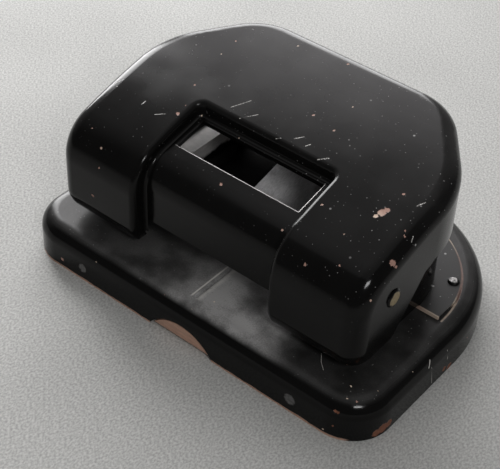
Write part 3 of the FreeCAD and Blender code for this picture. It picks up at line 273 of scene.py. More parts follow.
class Nodes:
    """Adds nodes to one tree; a source is a value or another node's output."""

    def __init__(self, tree):
        self.tree = tree

    def add(self, kind, **settings):
        made = self.tree.nodes.new(kind)
        for name, amount in settings.items():
            setattr(made, name, amount)
        return made

    def feed(self, socket, source):
        if isinstance(source, bpy.types.NodeSocket):
            self.tree.links.new(source, socket)
        else:
            socket.default_value = source

    def feed_all(self, made, sources):
        for name, source in sources.items():
            self.feed(made.inputs[name], source)

    def maths(self, operation, *sources, clamp=False):
        made = self.add("ShaderNodeMath", operation=operation, use_clamp=clamp)
        for socket, source in zip(made.inputs, sources):
            self.feed(socket, source)
        return made.outputs[0]

    def vectors(self, operation, *sources):
        made = self.add("ShaderNodeVectorMath", operation=operation)
        for socket, source in zip(made.inputs, sources):
            self.feed(socket, source)
        number = operation in ("DISTANCE", "DOT_PRODUCT", "LENGTH")
        return made.outputs["Value" if number else "Vector"]

    def noise(self, place, scale, detail=2.0, output="Fac"):
        made = self.add("ShaderNodeTexNoise")
        self.feed_all(made, {"Vector": place, "Scale": scale, "Detail": detail})
        return made.outputs[output]

    def between(self, source, low, high):
        """0 at low and 1 at high, with a soft rise; low may be the larger one."""
        made = self.add("ShaderNodeMapRange", interpolation_type="SMOOTHSTEP")
        self.feed_all(made, {"Value": source, "From Min": low, "From Max": high})
        return made.outputs["Result"]

    def mix(self, amount, first, second):
        """A colour between two colours."""
        made = self.add("ShaderNodeMix", data_type="RGBA")
        sources = (amount, first, second)
        sockets = (made.inputs[0], made.inputs[6], made.inputs[7])
        for socket, source in zip(sockets, sources):
            if not isinstance(source, (float, bpy.types.NodeSocket)):
                source = (*source, 1.0)
            self.feed(socket, source)
        return made.outputs[2]

    def level(self, amount, first, second):
        """A number between two numbers."""
        made = self.add("ShaderNodeMix", data_type="FLOAT")
        self.feed_all(made, {"Factor": amount, "A": first, "B": second})
        return made.outputs[0]

    def largest(self, masks):
        total = masks[0]
        for mask in masks[1:]:
            total = self.maths("MAXIMUM", total, mask)
        return total

    def product(self, *masks):
        """The product of masks; plain numbers are multiplied without a node."""
        total = masks[0]
        for mask in masks[1:]:
            if isinstance(total, float) and isinstance(mask, float):
                total *= mask
            else:
                total = self.maths("MULTIPLY", total, mask)
        return total

    def within(self, source, rises):
        """The product of several rises along one measure."""
        return self.product(*[self.between(source, *rise) for rise in rises])

    def uneven(self, place, scale, detail, low, high):
        """A number that wanders between two numbers."""
        return self.level(self.noise(place, scale, detail), low, high)

    def apart(self, place, scale, reach):
        """The place, moved about by up to half the reach each way."""
        stir = self.noise(place, scale, 3.0, "Color")
        stir = self.vectors("SUBTRACT", stir, (0.5, 0.5, 0.5))
        return self.vectors("ADD", place, self.vectors("MULTIPLY", stir, [reach] * 3))

    def mapped(self, place, scale=(1, 1, 1), turn=(0, 0, 0)):
        made = self.add("ShaderNodeMapping")
        self.feed_all(made, {"Vector": place, "Scale": scale, "Rotation": turn})
        return made.outputs[0]

    def parts(self, place):
        made = self.add("ShaderNodeSeparateXYZ")
        self.feed(made.inputs[0], place)
        return made.outputs

    def effect(self, group, **sources):
        """Place a shader node group; an underscore in a name stands for a space."""
        made = self.add("ShaderNodeGroup", node_tree=group)
        self.feed_all(made, {name.replace("_", " "): source for name, source in sources.items()})
        return made.outputs

    def place_mm(self):
        """The piece's own coordinates, in mm."""
        return self.mapped(self.add("ShaderNodeTexCoord").outputs["Object"], [1 / MM] * 3)


def effect_group(name, takes, gives):
    """An empty node group with named inputs and outputs."""
    kinds = {float: "NodeSocketFloat", tuple: "NodeSocketVector"}
    group = bpy.data.node_groups.new(name, "ShaderNodeTree")
    for label, default in takes.items():
        socket = group.interface.new_socket(label, in_out="INPUT", socket_type=kinds[type(default)])
        socket.default_value = default
    for label, kind in gives.items():
        group.interface.new_socket(label, in_out="OUTPUT", socket_type=kind)
    nodes = Nodes(group)
    given = nodes.add("NodeGroupInput").outputs
    result = nodes.add("NodeGroupOutput").inputs
    return group, nodes, given, result


MASK = {"Mask": "NodeSocketFloat"}


def chip_effect():
    """A flake out of the lacquer."""
    group, nodes, given, result = effect_group(
        "Lacquer chip", {"Place": (0.0, 0.0, 0.0), "Centre": (0.0, 0.0, 0.0), "Radius": 0.5}, MASK)
    far = nodes.vectors("DISTANCE", given["Place"], given["Centre"])
    outer = nodes.maths("MULTIPLY", given["Radius"], 1.18)
    inner = nodes.maths("MULTIPLY", given["Radius"], 0.82)
    nodes.feed(result["Mask"], nodes.between(far, outer, inner))
    return group


def scratch_effect():
    """A fine scratch from one place to another."""
    group, nodes, given, result = effect_group(
        "Fine scratch", {"Place": (0.0, 0.0, 0.0), "Start": (0.0, 0.0, 0.0),
                         "End": (1.0, 0.0, 0.0), "Width": 0.1}, MASK)
    along = nodes.vectors("SUBTRACT", given["End"], given["Start"])
    off = nodes.vectors("SUBTRACT", given["Place"], given["Start"])
    reach = nodes.maths("DIVIDE", nodes.vectors("DOT_PRODUCT", off, along),
                        nodes.vectors("DOT_PRODUCT", along, along), clamp=True)
    nearest = nodes.vectors("MULTIPLY", along, reach)
    far = nodes.vectors("DISTANCE", off, nearest)
    thin = nodes.maths("MULTIPLY", given["Width"], 0.35)
    nodes.feed(result["Mask"], nodes.between(far, given["Width"], thin))
    return group


def speck_effect():
    """Scattered specks: one at most in each cell, of uneven size."""
    group, nodes, given, result = effect_group(
        "Specks", {"Place": (0.0, 0.0, 0.0), "Spacing": 3.0, "Radius": 0.2, "Share": 0.5}, MASK)
    scale = nodes.maths("DIVIDE", 1.0, given["Spacing"])
    cells = nodes.add("ShaderNodeTexVoronoi")
    nodes.feed_all(cells, {"Vector": given["Place"], "Scale": scale})
    chance = nodes.parts(cells.outputs["Color"])
    radius = nodes.product(given["Radius"], scale, nodes.level(chance[1], 0.3, 1.0))
    spot = nodes.between(cells.outputs["Distance"], radius, nodes.maths("MULTIPLY", radius, 0.6))
    kept = nodes.maths("LESS_THAN", chance[0], given["Share"])
    nodes.feed(result["Mask"], nodes.product(spot, kept))
    return group


def patch_effect():
    """Cloudy patches over a share of the surface."""
    group, nodes, given, result = effect_group(
        "Patches", {"Place": (0.0, 0.0, 0.0), "Spacing": 10.0, "Share": 0.5, "Softness": 0.1}, MASK)
    cloud = nodes.noise(given["Place"], nodes.maths("DIVIDE", 1.0, given["Spacing"]), 5.0)
    middle = nodes.level(given["Share"], 0.72, 0.3)
    low = nodes.maths("SUBTRACT", middle, given["Softness"])
    high = nodes.maths("ADD", middle, given["Softness"])
    nodes.feed(result["Mask"], nodes.between(cloud, low, high))
    return group


def sheet_effect():
    """The slight unevenness of drawn sheet under lacquer, as a height in mm."""
    group, nodes, given, result = effect_group(
        "Drawn sheet", {"Place": (0.0, 0.0, 0.0), "Waves": 0.05, "Peel": 0.002},
        {"Height": "NodeSocketFloat"})
    waves = nodes.product(nodes.noise(given["Place"], 0.05, 1.0), given["Waves"])
    peel = nodes.product(nodes.noise(given["Place"], 1.3, 2.0), given["Peel"])
    nodes.feed(result["Height"], nodes.maths("ADD", waves, peel))
    return group


def grain_effect():
    """The grain of rolled or ground steel, along the place's X."""
    group, nodes, given, result = effect_group(
        "Steel grain", {"Place": (0.0, 0.0, 0.0), "Fineness": 4.0},
        {"Tone": "NodeSocketFloat", "Height": "NodeSocketFloat"})
    drawn = nodes.mapped(given["Place"], (0.06, 1.0, 1.0))
    fine = nodes.noise(drawn, given["Fineness"], 4.0)
    cloud = nodes.noise(given["Place"], 0.25, 3.0)
    nodes.feed(result["Tone"], nodes.level(0.45, fine, cloud))
    nodes.feed(result["Height"], nodes.maths("MULTIPLY", fine, 0.01))
    return group


def outline_effect():
    """How far a place lies outside the frame's foot flange, seen from above, in mm."""
    group, nodes, given, result = effect_group(
        "Flange outline", {"Place": (0.0, 0.0, 0.0), "Half straight": 22.3, "Start": 1.0,
                           "Radius": 30.1}, {"Distance": "NodeSocketFloat"})
    x, y, _ = nodes.parts(given["Place"])
    across = nodes.maths("SUBTRACT", nodes.maths("ABSOLUTE", x), given["Half straight"])
    behind = nodes.maths("SUBTRACT", y, given["Start"])
    squares = [nodes.maths("POWER", nodes.maths("MAXIMUM", side, 0.0), 2.0)
               for side in (across, behind)]
    reach = nodes.maths("SQRT", nodes.maths("ADD", *squares))
    nodes.feed(result["Distance"], nodes.maths("SUBTRACT", reach, given["Radius"]))
    return group


EFFECTS = {}


def build_effects():
    """The node groups that the finishes share."""
    makers = {"chip": chip_effect, "scratch": scratch_effect, "specks": speck_effect,
              "patches": patch_effect, "sheet": sheet_effect, "grain": grain_effect,
              "outline": outline_effect}
    for name, maker in makers.items():
        EFFECTS[name] = maker()


# ---------------------------------------------------------------- materials

def new_material(name):
    """A material with a principled shader alone."""
    material = bpy.data.materials.new(name)
    material.use_nodes = True
    material.node_tree.nodes.clear()
    nodes = Nodes(material.node_tree)
    shader = nodes.add("ShaderNodeBsdfPrincipled")
    output = nodes.add("ShaderNodeOutputMaterial")
    nodes.feed(output.inputs["Surface"], shader.outputs[0])
    return material, nodes, shader


def bump(nodes, shader, height):
    """Feed a height in mm to a shader's normal."""
    made = nodes.add("ShaderNodeBump")
    nodes.feed_all(made, {"Height": height, "Distance": MM, "Strength": 1.0})
    nodes.feed(shader.inputs["Normal"], made.outputs[0])


def spots(nodes, place, marks):
    """The union of chips at places in mm."""
    masks = [nodes.effect(EFFECTS["chip"], Place=place, Centre=centre, Radius=radius)[0]
             for centre, radius in marks]
    return nodes.largest(masks)


def lines(nodes, place, marks):
    """The union of scratches between places in mm."""
    masks = [nodes.effect(EFFECTS["scratch"], Place=place, Start=start, End=end, Width=width)[0]
             for start, end, width in marks]
    return nodes.largest(masks)


def specks(nodes, place, spacing, radius, kept):
    return nodes.effect(EFFECTS["specks"], Place=place, Spacing=spacing, Radius=radius,
                        Share=kept)[0]


def patches(nodes, place, spacing, covered, softness):
    return nodes.effect(EFFECTS["patches"], Place=place, Spacing=spacing, Share=covered,
                        Softness=softness)[0]


def scaled(tint, factor):
    """A darker or lighter shade of a colour."""
    return [min(1.0, part * factor) for part in tint]


def lacquer_material(name, wear, metal=STEEL, metallic=0.9):
    """Black stoving lacquer; wear(nodes, place, ragged) gives the masks of what has happened to it.

    The masks are dust, dull, chip and painted glint, scratch and painted highlight, rust and bare,
    which on the rivet tops is a painted glint; each may be left out.
    """
    settings = bpy.context.scene.punch_lacquer
    material, nodes, shader = new_material(name)
    place = nodes.place_mm()
    ragged = nodes.apart(place, 1.6, EDGE_WANDER)
    masks = {"dust": 0.0, "dull": 0.0, "chips": 0.0, "scratches": 0.0, "rust": 0.0, "bare": 0.0}
    masks.update(wear(nodes, place, ragged))
    small = specks(nodes, ragged, 9.0, 0.2, 0.3)
    chips = nodes.maths("MAXIMUM", masks["chips"], small)
    cloud = nodes.noise(place, 0.12, 4.0)
    shade = nodes.mix(cloud, settings.tint, scaled(settings.tint, 2.2))
    shade = nodes.mix(masks["dust"], shade, settings.dust)
    flake = nodes.mix(nodes.noise(place, 1.6, 3.0), scaled(PRIMER, 0.6), PRIMER)
    pale = nodes.between(nodes.noise(place, 0.09, 1.0), 0.45, 0.6)
    shade = nodes.mix(chips, shade, nodes.mix(pale, flake, PALE_CHIP_AND_GLINT))
    rusty = nodes.mix(nodes.noise(place, 1.5, 5.0), RUST_DARK, RUST_LIGHT)
    shade = nodes.mix(masks["rust"], shade, rusty)
    # Scratch marks, and on the base the painted highlights of the centre mark, in a pale colour.
    shade = nodes.mix(masks["scratches"], shade, PALE_SCRATCH_AND_HIGHLIGHT)
    tarnish = nodes.noise(nodes.mapped(place, (0.3, 0.3, 1.0)), 1.5, 4.0)
    shade = nodes.mix(masks["bare"], shade, nodes.mix(tarnish, scaled(metal, 0.55), metal))
    bared = nodes.largest([chips, masks["rust"], masks["bare"]])
    dull = nodes.maths("MAXIMUM", masks["dull"], masks["dust"])
    smear = nodes.level(cloud, settings.gloss_roughness * 0.7, settings.gloss_roughness * 1.4)
    rough = nodes.level(dull, smear, settings.dull_roughness)
    rough = nodes.level(bared, rough, BARE_ROUGHNESS)
    sheet = nodes.effect(EFFECTS["sheet"], Place=place, Waves=0.12, Peel=0.003)[0]
    depth = nodes.product(nodes.maths("MAXIMUM", bared, masks["scratches"]), CHIP_DEPTH)
    nodes.feed_all(shader, {"Base Color": shade, "Roughness": rough,
                            "Metallic": nodes.product(masks["bare"], metallic),
                            "Specular IOR Level": LACQUER_SPECULAR})
    bump(nodes, shader, nodes.maths("SUBTRACT", sheet, depth))
    return material


def fine_dust(nodes, place, amount):
    """Loose dust and lint on the lacquer."""
    fine = specks(nodes, place, 1.2, 0.2, amount * 1.7)
    coarse = specks(nodes, place, 4.3, 0.42, amount)
    return nodes.maths("MAXIMUM", nodes.product(fine, 0.7), nodes.product(coarse, 0.9))


def hood_wear(marks):
    """Wear of the hood: rubbed crown, bare window edges, stained corner, and one painted glint."""
    def wear(nodes, place, ragged):
        x, y, z = nodes.parts(place)
        chips = spots(nodes, ragged, marks["chips"])
        wander = nodes.noise(place, 3.0, 2.0, "Color")
        wander = nodes.vectors("MULTIPLY", wander, [SCRATCH_WANDER] * 3)
        scratches = lines(nodes, nodes.vectors("ADD", place, wander), marks["scratches"])
        broken = nodes.between(nodes.noise(place, 3.2, 2.0), 0.42, 0.54)
        scratches = nodes.product(scratches, nodes.level(broken, 0.25, 1.0))
        settled = nodes.product(nodes.level(nodes.between(x, *HOOD_DUST_SPREAD), 0.4, 1.0),
                                nodes.level(patches(nodes, place, 14.0, 0.5, 0.15), 0.3, 1.0),
                                nodes.level(nodes.between(z, *HOOD_DUST_RISE), 0.12, 1.0))
        dust = nodes.product(fine_dust(nodes, place, 0.5), settled)
        crown = nodes.between(z, *HOOD_CROWN)
        haze = patches(nodes, place, 16.0, 0.5, 0.2)
        dull = nodes.product(crown, nodes.level(haze, 0.12, 0.4))
        film = nodes.product(crown, nodes.level(haze, 0.006, 0.02))
        front_edge = nodes.maths("SUBTRACT", WINDOW["front"], y)
        right_edge = nodes.maths("SUBTRACT", x, WINDOW["half"])
        outside = nodes.maths("MAXIMUM", front_edge, right_edge)
        rim = nodes.product(nodes.within(outside, WINDOW_EDGE), 0.75,
                            nodes.between(x, -WINDOW["half"] - WINDOW_LEFT_FADE, -WINDOW["half"]),
                            nodes.between(y, WINDOW["rear"] + WINDOW_REAR_FADE, WINDOW["rear"]),
                            nodes.between(z, *WINDOW_SHEET))
        streaks = nodes.noise(nodes.mapped(place, (1.4, 1.4, 0.12)), 1.0, 3.0)
        corner = [nodes.between(axis, *rise) for axis, rise in zip((x, y, z), STAIN)]
        stain = nodes.product(nodes.between(streaks, 0.60, 0.72), *corner, 0.45)
        return {"chips": chips, "scratches": scratches, "dull": dull,
                "dust": nodes.maths("MAXIMUM", dust, film), "bare": rim, "rust": stain}
    return wear


def base_wear(marks):
    """Wear of the base: dusty top, centre mark with wear and painted highlights, coppery foot."""
    def wear(nodes, place, ragged):
        x, y, z = nodes.parts(place)
        scratches = lines(nodes, place, marks["scratches"])
        top = nodes.between(z, *BASE_TOP)
        haze = patches(nodes, place, 9.0, 0.6, 0.2)
        middle = nodes.within(x, BASE_HAZE)
        front = nodes.within(x, MARK_HAZE)
        film = nodes.product(top, nodes.level(haze, 0.3, 1.0), nodes.level(middle, 0.1, 0.32))
        film = nodes.maths("ADD", film, nodes.product(front, top, nodes.level(haze, 0.25, 0.85)))
        film = nodes.product(film, nodes.uneven(place, 2.5, 5.0, 0.4, 1.6))
        dust = nodes.product(fine_dust(nodes, place, 0.4), top, 0.7)
        rubbed = nodes.product(spots(nodes, ragged, marks["dimples"]),
                               nodes.uneven(place, 1.5, 3.0, 0.1, 0.6))
        outside = nodes.effect(EFFECTS["outline"], Place=place)[0]
        dirt = nodes.product(nodes.within(outside, FLANGE_DIRT), nodes.between(y, *FLANGE_START),
                             top, nodes.uneven(place, 0.8, 3.0, 0.3, 1.0), 0.7)
        # The centre mark's flanks: bright is a painted highlight on the left flank, faint is wear
        # with a painted highlight on the right; both take the pale scratch colour.
        bright = nodes.within(x, MARK_HIGHLIGHT)
        faint = nodes.product(nodes.within(x, MARK_WEAR_AND_HIGHLIGHT),
                              nodes.between(nodes.noise(place, 0.9, 3.0), 0.2, 0.55), 0.6)
        mark_wear_and_highlights = nodes.product(nodes.maths("MAXIMUM", bright, faint), nodes.within(y, MARK_ENDS),
                             top, 0.9)
        line = nodes.uneven(nodes.mapped(place, (0.3, 0.3, 1.0)), 0.8, 4.0, 0.2, 1.1)
        foot = nodes.between(nodes.maths("SUBTRACT", z, line), *FOOT_EDGE)
        return {"chips": nodes.maths("MAXIMUM", spots(nodes, ragged, marks["chips"]), dirt),
                "scratches": nodes.maths("MAXIMUM", scratches, mark_wear_and_highlights),
                "dust": nodes.largest([dust, film, rubbed]), "dull": nodes.product(top, 0.6),
                "rust": spots(nodes, ragged, marks["rust"]),
                "bare": nodes.product(foot, nodes.between(y, *FOOT_FRONT), 0.95)}
    return wear


def frame_wear(nodes, place, ragged):
    """Wear of the frame: lacquered outside and below, bare steel on the towers and the bridge."""
    x, y, z = nodes.parts(place)
    height = nodes.maths("ADD", z, nodes.product(nodes.noise(place, 0.4, 3.0), 2.0))
    bare = nodes.product(nodes.between(height, *TOWER_BARE),
                         nodes.between(nodes.maths("ABSOLUTE", x), *TOWER_HALF),
                         nodes.between(y, *TOWER_REAR))
    outside = nodes.effect(EFFECTS["outline"], Place=place)[0]
    dirt = nodes.product(nodes.between(outside, *FLANGE_EDGE),
                         nodes.uneven(place, 0.8, 3.0, 0.3, 1.0))
    dirt = nodes.maths("MAXIMUM", dirt, nodes.between(y, *FLANGE_NOSE))
    flange = nodes.between(z, *FLANGE_FACE)
    dust = nodes.maths("MAXIMUM", fine_dust(nodes, place, 0.3), 0.05)
    return {"bare": bare, "dust": nodes.product(dust, flange), "dull": nodes.product(flange, 0.8),
            "chips": nodes.product(dirt, nodes.between(z, *FLANGE_TOP), 0.7)}


def cover_wear(nodes, place, ragged):
    """Wear of the cover: thumb lip rubbed to coppery metal, rusty patches below."""
    x, y, z = nodes.parts(place)
    lip = nodes.product(nodes.between(y, *LIP_FRONT),
                        nodes.between(nodes.maths("ABSOLUTE", x), *LIP_HALF))
    floor = nodes.between(z, *COVER_FLOOR)
    streak = nodes.noise(nodes.mapped(place, (0.5, 0.5, 2.0)), 1.6, 4.0)
    return {"bare": lip, "scratches": nodes.product(lip, nodes.between(streak, 0.52, 0.66), 0.45),
            "rust": nodes.product(patches(nodes, place, 7.0, 0.42, 0.06), floor, 0.8),
            "dull": floor, "dust": nodes.product(fine_dust(nodes, place, 0.3), floor)}


def rivet_painted_glint(nodes, place, ragged):
    """Rivet heads with a painted glint: bright bare metal painted on their tops."""
    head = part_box("frame_rivets")[1].z / MM
    z = nodes.parts(ragged)[2]
    # The bright top stands in for the glint of the lamps on each head: a painted highlight.
    rubbed = nodes.between(z, *[head + rise for rise in RIVET_TOP])
    return {"bare": nodes.product(rubbed, 0.7), "dull": 0.4}


def plain_wear(nodes, place, ragged):
    """Lacquer with some dust and no damage of its own."""
    return {"dust": nodes.product(fine_dust(nodes, place, 0.3), 0.6), "dull": 0.35}


def steel_material(name, tint, roughness, turn=(0, 0, 0), tarnish=0.3, metallic=0.95):
    """Steel with its grain along one axis, brown spots and darker clouds."""
    material, nodes, shader = new_material(name)
    place = nodes.place_mm()
    tone, height = nodes.effect(EFFECTS["grain"], Place=nodes.mapped(place, turn=turn))
    shade = nodes.mix(nodes.between(tone, 0.3, 0.7), scaled(tint, 0.72), scaled(tint, 1.18))
    stain = nodes.product(patches(nodes, place, 4.0, tarnish, 0.12), 0.6)
    brown = nodes.mix(nodes.noise(place, 2.0, 3.0), RUST_DARK, scaled(tint, 0.5))
    shade = nodes.mix(stain, shade, brown)
    rough = nodes.level(tone, roughness * 0.75, min(1.0, roughness * 1.3))
    nodes.feed_all(shader, {"Base Color": shade, "Roughness": nodes.level(stain, rough, 0.65),
                            "Metallic": nodes.level(stain, metallic, metallic * 0.4)})
    bump(nodes, shader, height)
    return material


def pin_head_material():
    """A pin head: tarnished metal in the middle, lacquer run in around it."""
    settings = bpy.context.scene.punch_steel
    low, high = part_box("pivot_pin_right")
    centre = [axis / MM for axis in (low + high) / 2]
    material, nodes, shader = new_material("Tarnished pin heads")
    place = nodes.place_mm()
    off = nodes.vectors("MULTIPLY", nodes.vectors("SUBTRACT", place, centre), (0.0, 1.0, 1.0))
    far = nodes.maths("ADD", nodes.vectors("LENGTH", off), nodes.noise(place, 1.2, 3.0))
    metal = nodes.between(far, *PIN_HEAD)
    cloud = nodes.noise(place, 1.4, 4.0)
    shade = nodes.mix(cloud, scaled(settings.brass, 0.45), scaled(settings.brass, 1.3))
    lacquer = bpy.context.scene.punch_lacquer.tint
    nodes.feed_all(shader, {"Base Color": nodes.mix(metal, lacquer, shade),
                            "Roughness": nodes.level(metal, 0.2, 0.55),
                            "Metallic": nodes.product(metal, 0.4),
                            "Specular IOR Level": HEAD_LACQUER_SPECULAR})
    bump(nodes, shader, nodes.product(cloud, metal, 0.05))
    return material


def floor_material():
    """A pale grey table top with a fine fleck."""
    tint = bpy.context.scene.punch_stage.floor
    material, nodes, shader = new_material("Table top")
    place = nodes.place_mm()
    fleck = nodes.noise(nodes.mapped(place, (1.0, 0.7, 1.0), (0, 0, 0.6)), 1.9, 5.0)
    cloud = nodes.noise(place, 0.02, 2.0)
    fleck = nodes.level(0.3, nodes.between(fleck, 0.25, 0.75), cloud)
    shade = nodes.mix(fleck, scaled(tint, 0.6), scaled(tint, 1.32))
    nodes.feed_all(shader, {"Base Color": shade, "Roughness": 0.7, "Specular IOR Level": 0.25})
    bump(nodes, shader, nodes.product(fleck, 0.04))
    return material


MATERIALS = {}


def build_materials():
    """The finishes that several pieces share."""
    steel = bpy.context.scene.punch_steel
    MATERIALS["lacquer"] = lacquer_material("Black lacquer", plain_wear)
    MATERIALS["sheet_steel"] = steel_material("Bare sheet steel", steel.bare, 0.42)
    MATERIALS["ground_steel"] = steel_material("Ground steel", steel.ground, 0.24, ALONG_Z, 0.15)
    MATERIALS["spring_steel"] = steel_material("Spring steel", steel.spring, 0.34, ALONG_Y, 0.2)
    MATERIALS["leaf_steel"] = steel_material("Dull leaf steel", steel.leaf, 0.6, ALONG_Y, 0.1, 0.1)
    MATERIALS["pin_heads"] = pin_head_material()


# ---------------------------------------------------------------- pieces

def dressed_mesh(node, rim):
    """A joined-up copy of a CAD node's mesh with rounded sheet edges."""
    mesh = bmesh.new()
    mesh.from_mesh(NODES[node].data)
    bmesh.ops.remove_doubles(mesh, verts=mesh.verts, dist=MERGE)
    bmesh.ops.dissolve_limit(mesh, angle_limit=FLAT, verts=mesh.verts, edges=mesh.edges)
    sharp = [edge for edge in mesh.edges if edge.is_manifold and edge.calc_face_angle() > CREASE]
    bmesh.ops.bevel(mesh, geom=sharp, offset=rim, offset_type="OFFSET", segments=2, profile=0.5,
                    affect="EDGES", clamp_overlap=True, material=-1)
    return mesh


def finished_piece(name, mesh, body, material, stands_for):
    """Turn a bmesh into a piece that rides on a body and stands for CAD nodes."""
    data = bpy.data.meshes.new(name)
    mesh.to_mesh(data)
    mesh.free()
    if "custom_normal" in data.attributes:
        data.attributes.remove(data.attributes["custom_normal"])
    data.shade_smooth()
    data.materials.append(material)
    piece = bpy.data.objects.new(name, data)
    bpy.context.scene.collection.objects.link(piece)
    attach(piece, body)
    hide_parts(*stands_for)
    return piece


def even_shading(piece):
    """Let the large faces lead the shading of the rounded edges beside them."""
    made = piece.modifiers.new("Even shading", "WEIGHTED_NORMAL")
    made.keep_sharp = True
    made.weight = FACE_LEAD


def marked_places(mesh, **groups):
    """The places in mm of marks given by pixels of the main view."""
    tree = BVHTree.FromBMesh(mesh)
    found = {}
    for name, marks in groups.items():
        found[name] = []
        for mark in marks:
            ends = [place_in_view(tree, *mark[start:start + 2])
                    for start in range(0, len(mark) - 1, 2)]
            found[name].append((*ends, mark[-1]))
    return found


def hood_window():
    """The window's edges in mm, from its size and the punching line."""
    low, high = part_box("punch_pin_left")
    line = (low.y + high.y) / 2 / MM
    return {"half": WINDOW_HALF, "front": line - WINDOW_DEPTH, "rear": line}


WINDOW = hood_window()


def carry_over(material, *nodes):
    """Give CAD nodes a finish of their own."""
    for node in nodes:
        for slot in NODES[node].material_slots:
            slot.link = "OBJECT"
            slot.material = MATERIALS[material]


def coil_mesh(node):
    """A compression spring with closed ends, spun up from a ring of wire."""
    steel = bpy.context.scene.punch_steel
    low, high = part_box(node)
    middle = (low + high) / 2
    wire = steel.wire
    radius = (high.x - low.x) / 2 - wire
    mesh = bmesh.new()
    upright = Matrix.Rotation(math.radians(90), 4, "X")
    start = Matrix.Translation((middle.x + radius, middle.y, low.z + wire))
    bmesh.ops.create_circle(mesh, segments=COIL_SIDES, radius=wire, matrix=start @ upright)
    closed_rise = CLOSED_PITCH * wire
    free_rise = high.z - low.z - 2 * wire - 2 * closed_rise
    last = mesh.verts[:] + mesh.edges[:]
    for turns, rise in ((1.0, closed_rise), (steel.turns, free_rise), (1.0, closed_rise)):
        steps = round(turns * COIL_STEPS)
        spun = bmesh.ops.spin(mesh, geom=last, cent=(middle.x, middle.y, 0), axis=(0, 0, 1),
                              dvec=(0, 0, rise / steps), angle=turns * math.tau, steps=steps,
                              use_merge=False, use_normal_flip=False, use_duplicate=False)
        last = spun["geom_last"]
    bmesh.ops.holes_fill(mesh, edges=mesh.edges, sides=0)
    bmesh.ops.recalc_face_normals(mesh, faces=mesh.faces)
    return mesh


# ---------------------------------------------------------------- operators

class PUNCH_OT_finishes(bpy.types.Operator):
    """Build the effects and finishes that the pieces share"""
    bl_idname = "punch.finishes"
    bl_label = "Finishes"

    def execute(self, context):
        build_effects()
        build_materials()
        return {"FINISHED"}


class PUNCH_OT_hood(bpy.types.Operator):
    """Press the hood lever with its sight window"""
    bl_idname = "punch.hood"
    bl_label = "Hood lever"

    def execute(self, context):
        mesh = dressed_mesh("hood_lever", context.scene.punch_lacquer.rim)
        marks = marked_places(mesh, chips=HOOD_CHIPS_AND_GLINT, scratches=HOOD_SCRATCHES)
        material = lacquer_material("Hood lacquer", hood_wear(marks))
        even_shading(finished_piece("hood_pressing", mesh, "hood", material,
                                    ["hood_lever"]))
        return {"FINISHED"}


class PUNCH_OT_base(bpy.types.Operator):
    """Press the base with its centre mark and finger notch"""
    bl_idname = "punch.base"
    bl_label = "Base"

    def execute(self, context):
        mesh = dressed_mesh("base_shell", context.scene.punch_lacquer.rim)
        marks = marked_places(mesh, chips=BASE_CHIPS, scratches=BASE_SCRATCHES, rust=BASE_RUST,
                              dimples=DIMPLES)
        material = lacquer_material("Base lacquer", base_wear(marks), COPPER)
        even_shading(finished_piece("base_pressing", mesh, "stand", material,
                                    ["base_shell"]))
        return {"FINISHED"}


class PUNCH_OT_frame(bpy.types.Operator):
    """Press the frame with its towers, ears and foot flange, and rivet it down"""
    bl_idname = "punch.frame"
    bl_label = "Frame"

    def execute(self, context):
        rim = context.scene.punch_lacquer.rim
        mesh = dressed_mesh("frame", rim)
        material = lacquer_material("Frame lacquer", frame_wear, metallic=0.5)
        even_shading(finished_piece("frame_pressing", mesh, "stand", material,
                                    ["frame"]))
        rivets = dressed_mesh("frame_rivets", rim)
        # The rivet heads' lacquer carries a painted glint on their tops.
        rubbed = lacquer_material("Rubbed rivet lacquer", rivet_painted_glint)
        even_shading(finished_piece("frame_rivet_heads", rivets, "stand", rubbed,
                                    ["frame_rivets"]))
        return {"FINISHED"}


class PUNCH_OT_cover(bpy.types.Operator):
    """Bend up the chip cover with its thumb lip and hang it on its wire"""
    bl_idname = "punch.cover"
    bl_label = "Chip cover"

    def execute(self, context):
        mesh = dressed_mesh("bottom_cover", context.scene.punch_lacquer.rim)
        material = lacquer_material("Cover lacquer", cover_wear, COPPER, 0.8)
        even_shading(finished_piece("cover_pan", mesh, "cover", material,
                                    ["bottom_cover"]))
        carry_over("lacquer", "cover_hinge_lugs")
        carry_over("sheet_steel", "cover_hinge_wire")
        return {"FINISHED"}


class PUNCH_OT_works(bpy.types.Operator):
    """Finish the punches, dies, guides, stop, brackets and pivots"""
    bl_idname = "punch.works"
    bl_label = "Punching works"

    def execute(self, context):
        for side in ("left", "right"):
            carry_over("ground_steel", f"die_{side}", f"punch_pin_{side}")
            carry_over("sheet_steel", f"guide_bush_{side}", f"press_bracket_{side}",
                       f"spring_collar_{side}")
            carry_over("pin_heads", f"pivot_pin_{side}")
        carry_over("sheet_steel", "guide_plate", "paper_stop", "paper_stop_rivets", "pivot_washers")
        return {"FINISHED"}


class PUNCH_OT_springs(bpy.types.Operator):
    """Wind the punch springs and dress the lever's leaf spring"""
    bl_idname = "punch.springs"
    bl_label = "Springs"

    def execute(self, context):
        for side in ("left", "right"):
            node = f"punch_spring_{side}"
            coil = finished_piece(f"coil_{side}", coil_mesh(node), "stand",
                                  MATERIALS["spring_steel"], [node])
            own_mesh(coil)
        leaf = finished_piece("leaf_strip", dressed_mesh("lever_leaf_spring", LEAF_RIM), "stand",
                              MATERIALS["leaf_steel"], ["lever_leaf_spring"])
        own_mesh(leaf)
        carry_over("spring_steel", "leaf_spring_rivets")
        return {"FINISHED"}


def area_light(name, power, width, depth, place):
    """A rectangular lamp that shines on the punch."""
    light = bpy.data.lights.new(name, "AREA")
    light.shape = "RECTANGLE"
    light.energy = power
    light.size = width
    light.size_y = depth
    lamp = bpy.data.objects.new(name, light)
    lamp.location = place
    lamp.rotation_euler = (Vector(LAMP_TARGET) - Vector(place)).to_track_quat("-Z", "Y").to_euler()
    bpy.context.scene.collection.objects.link(lamp)


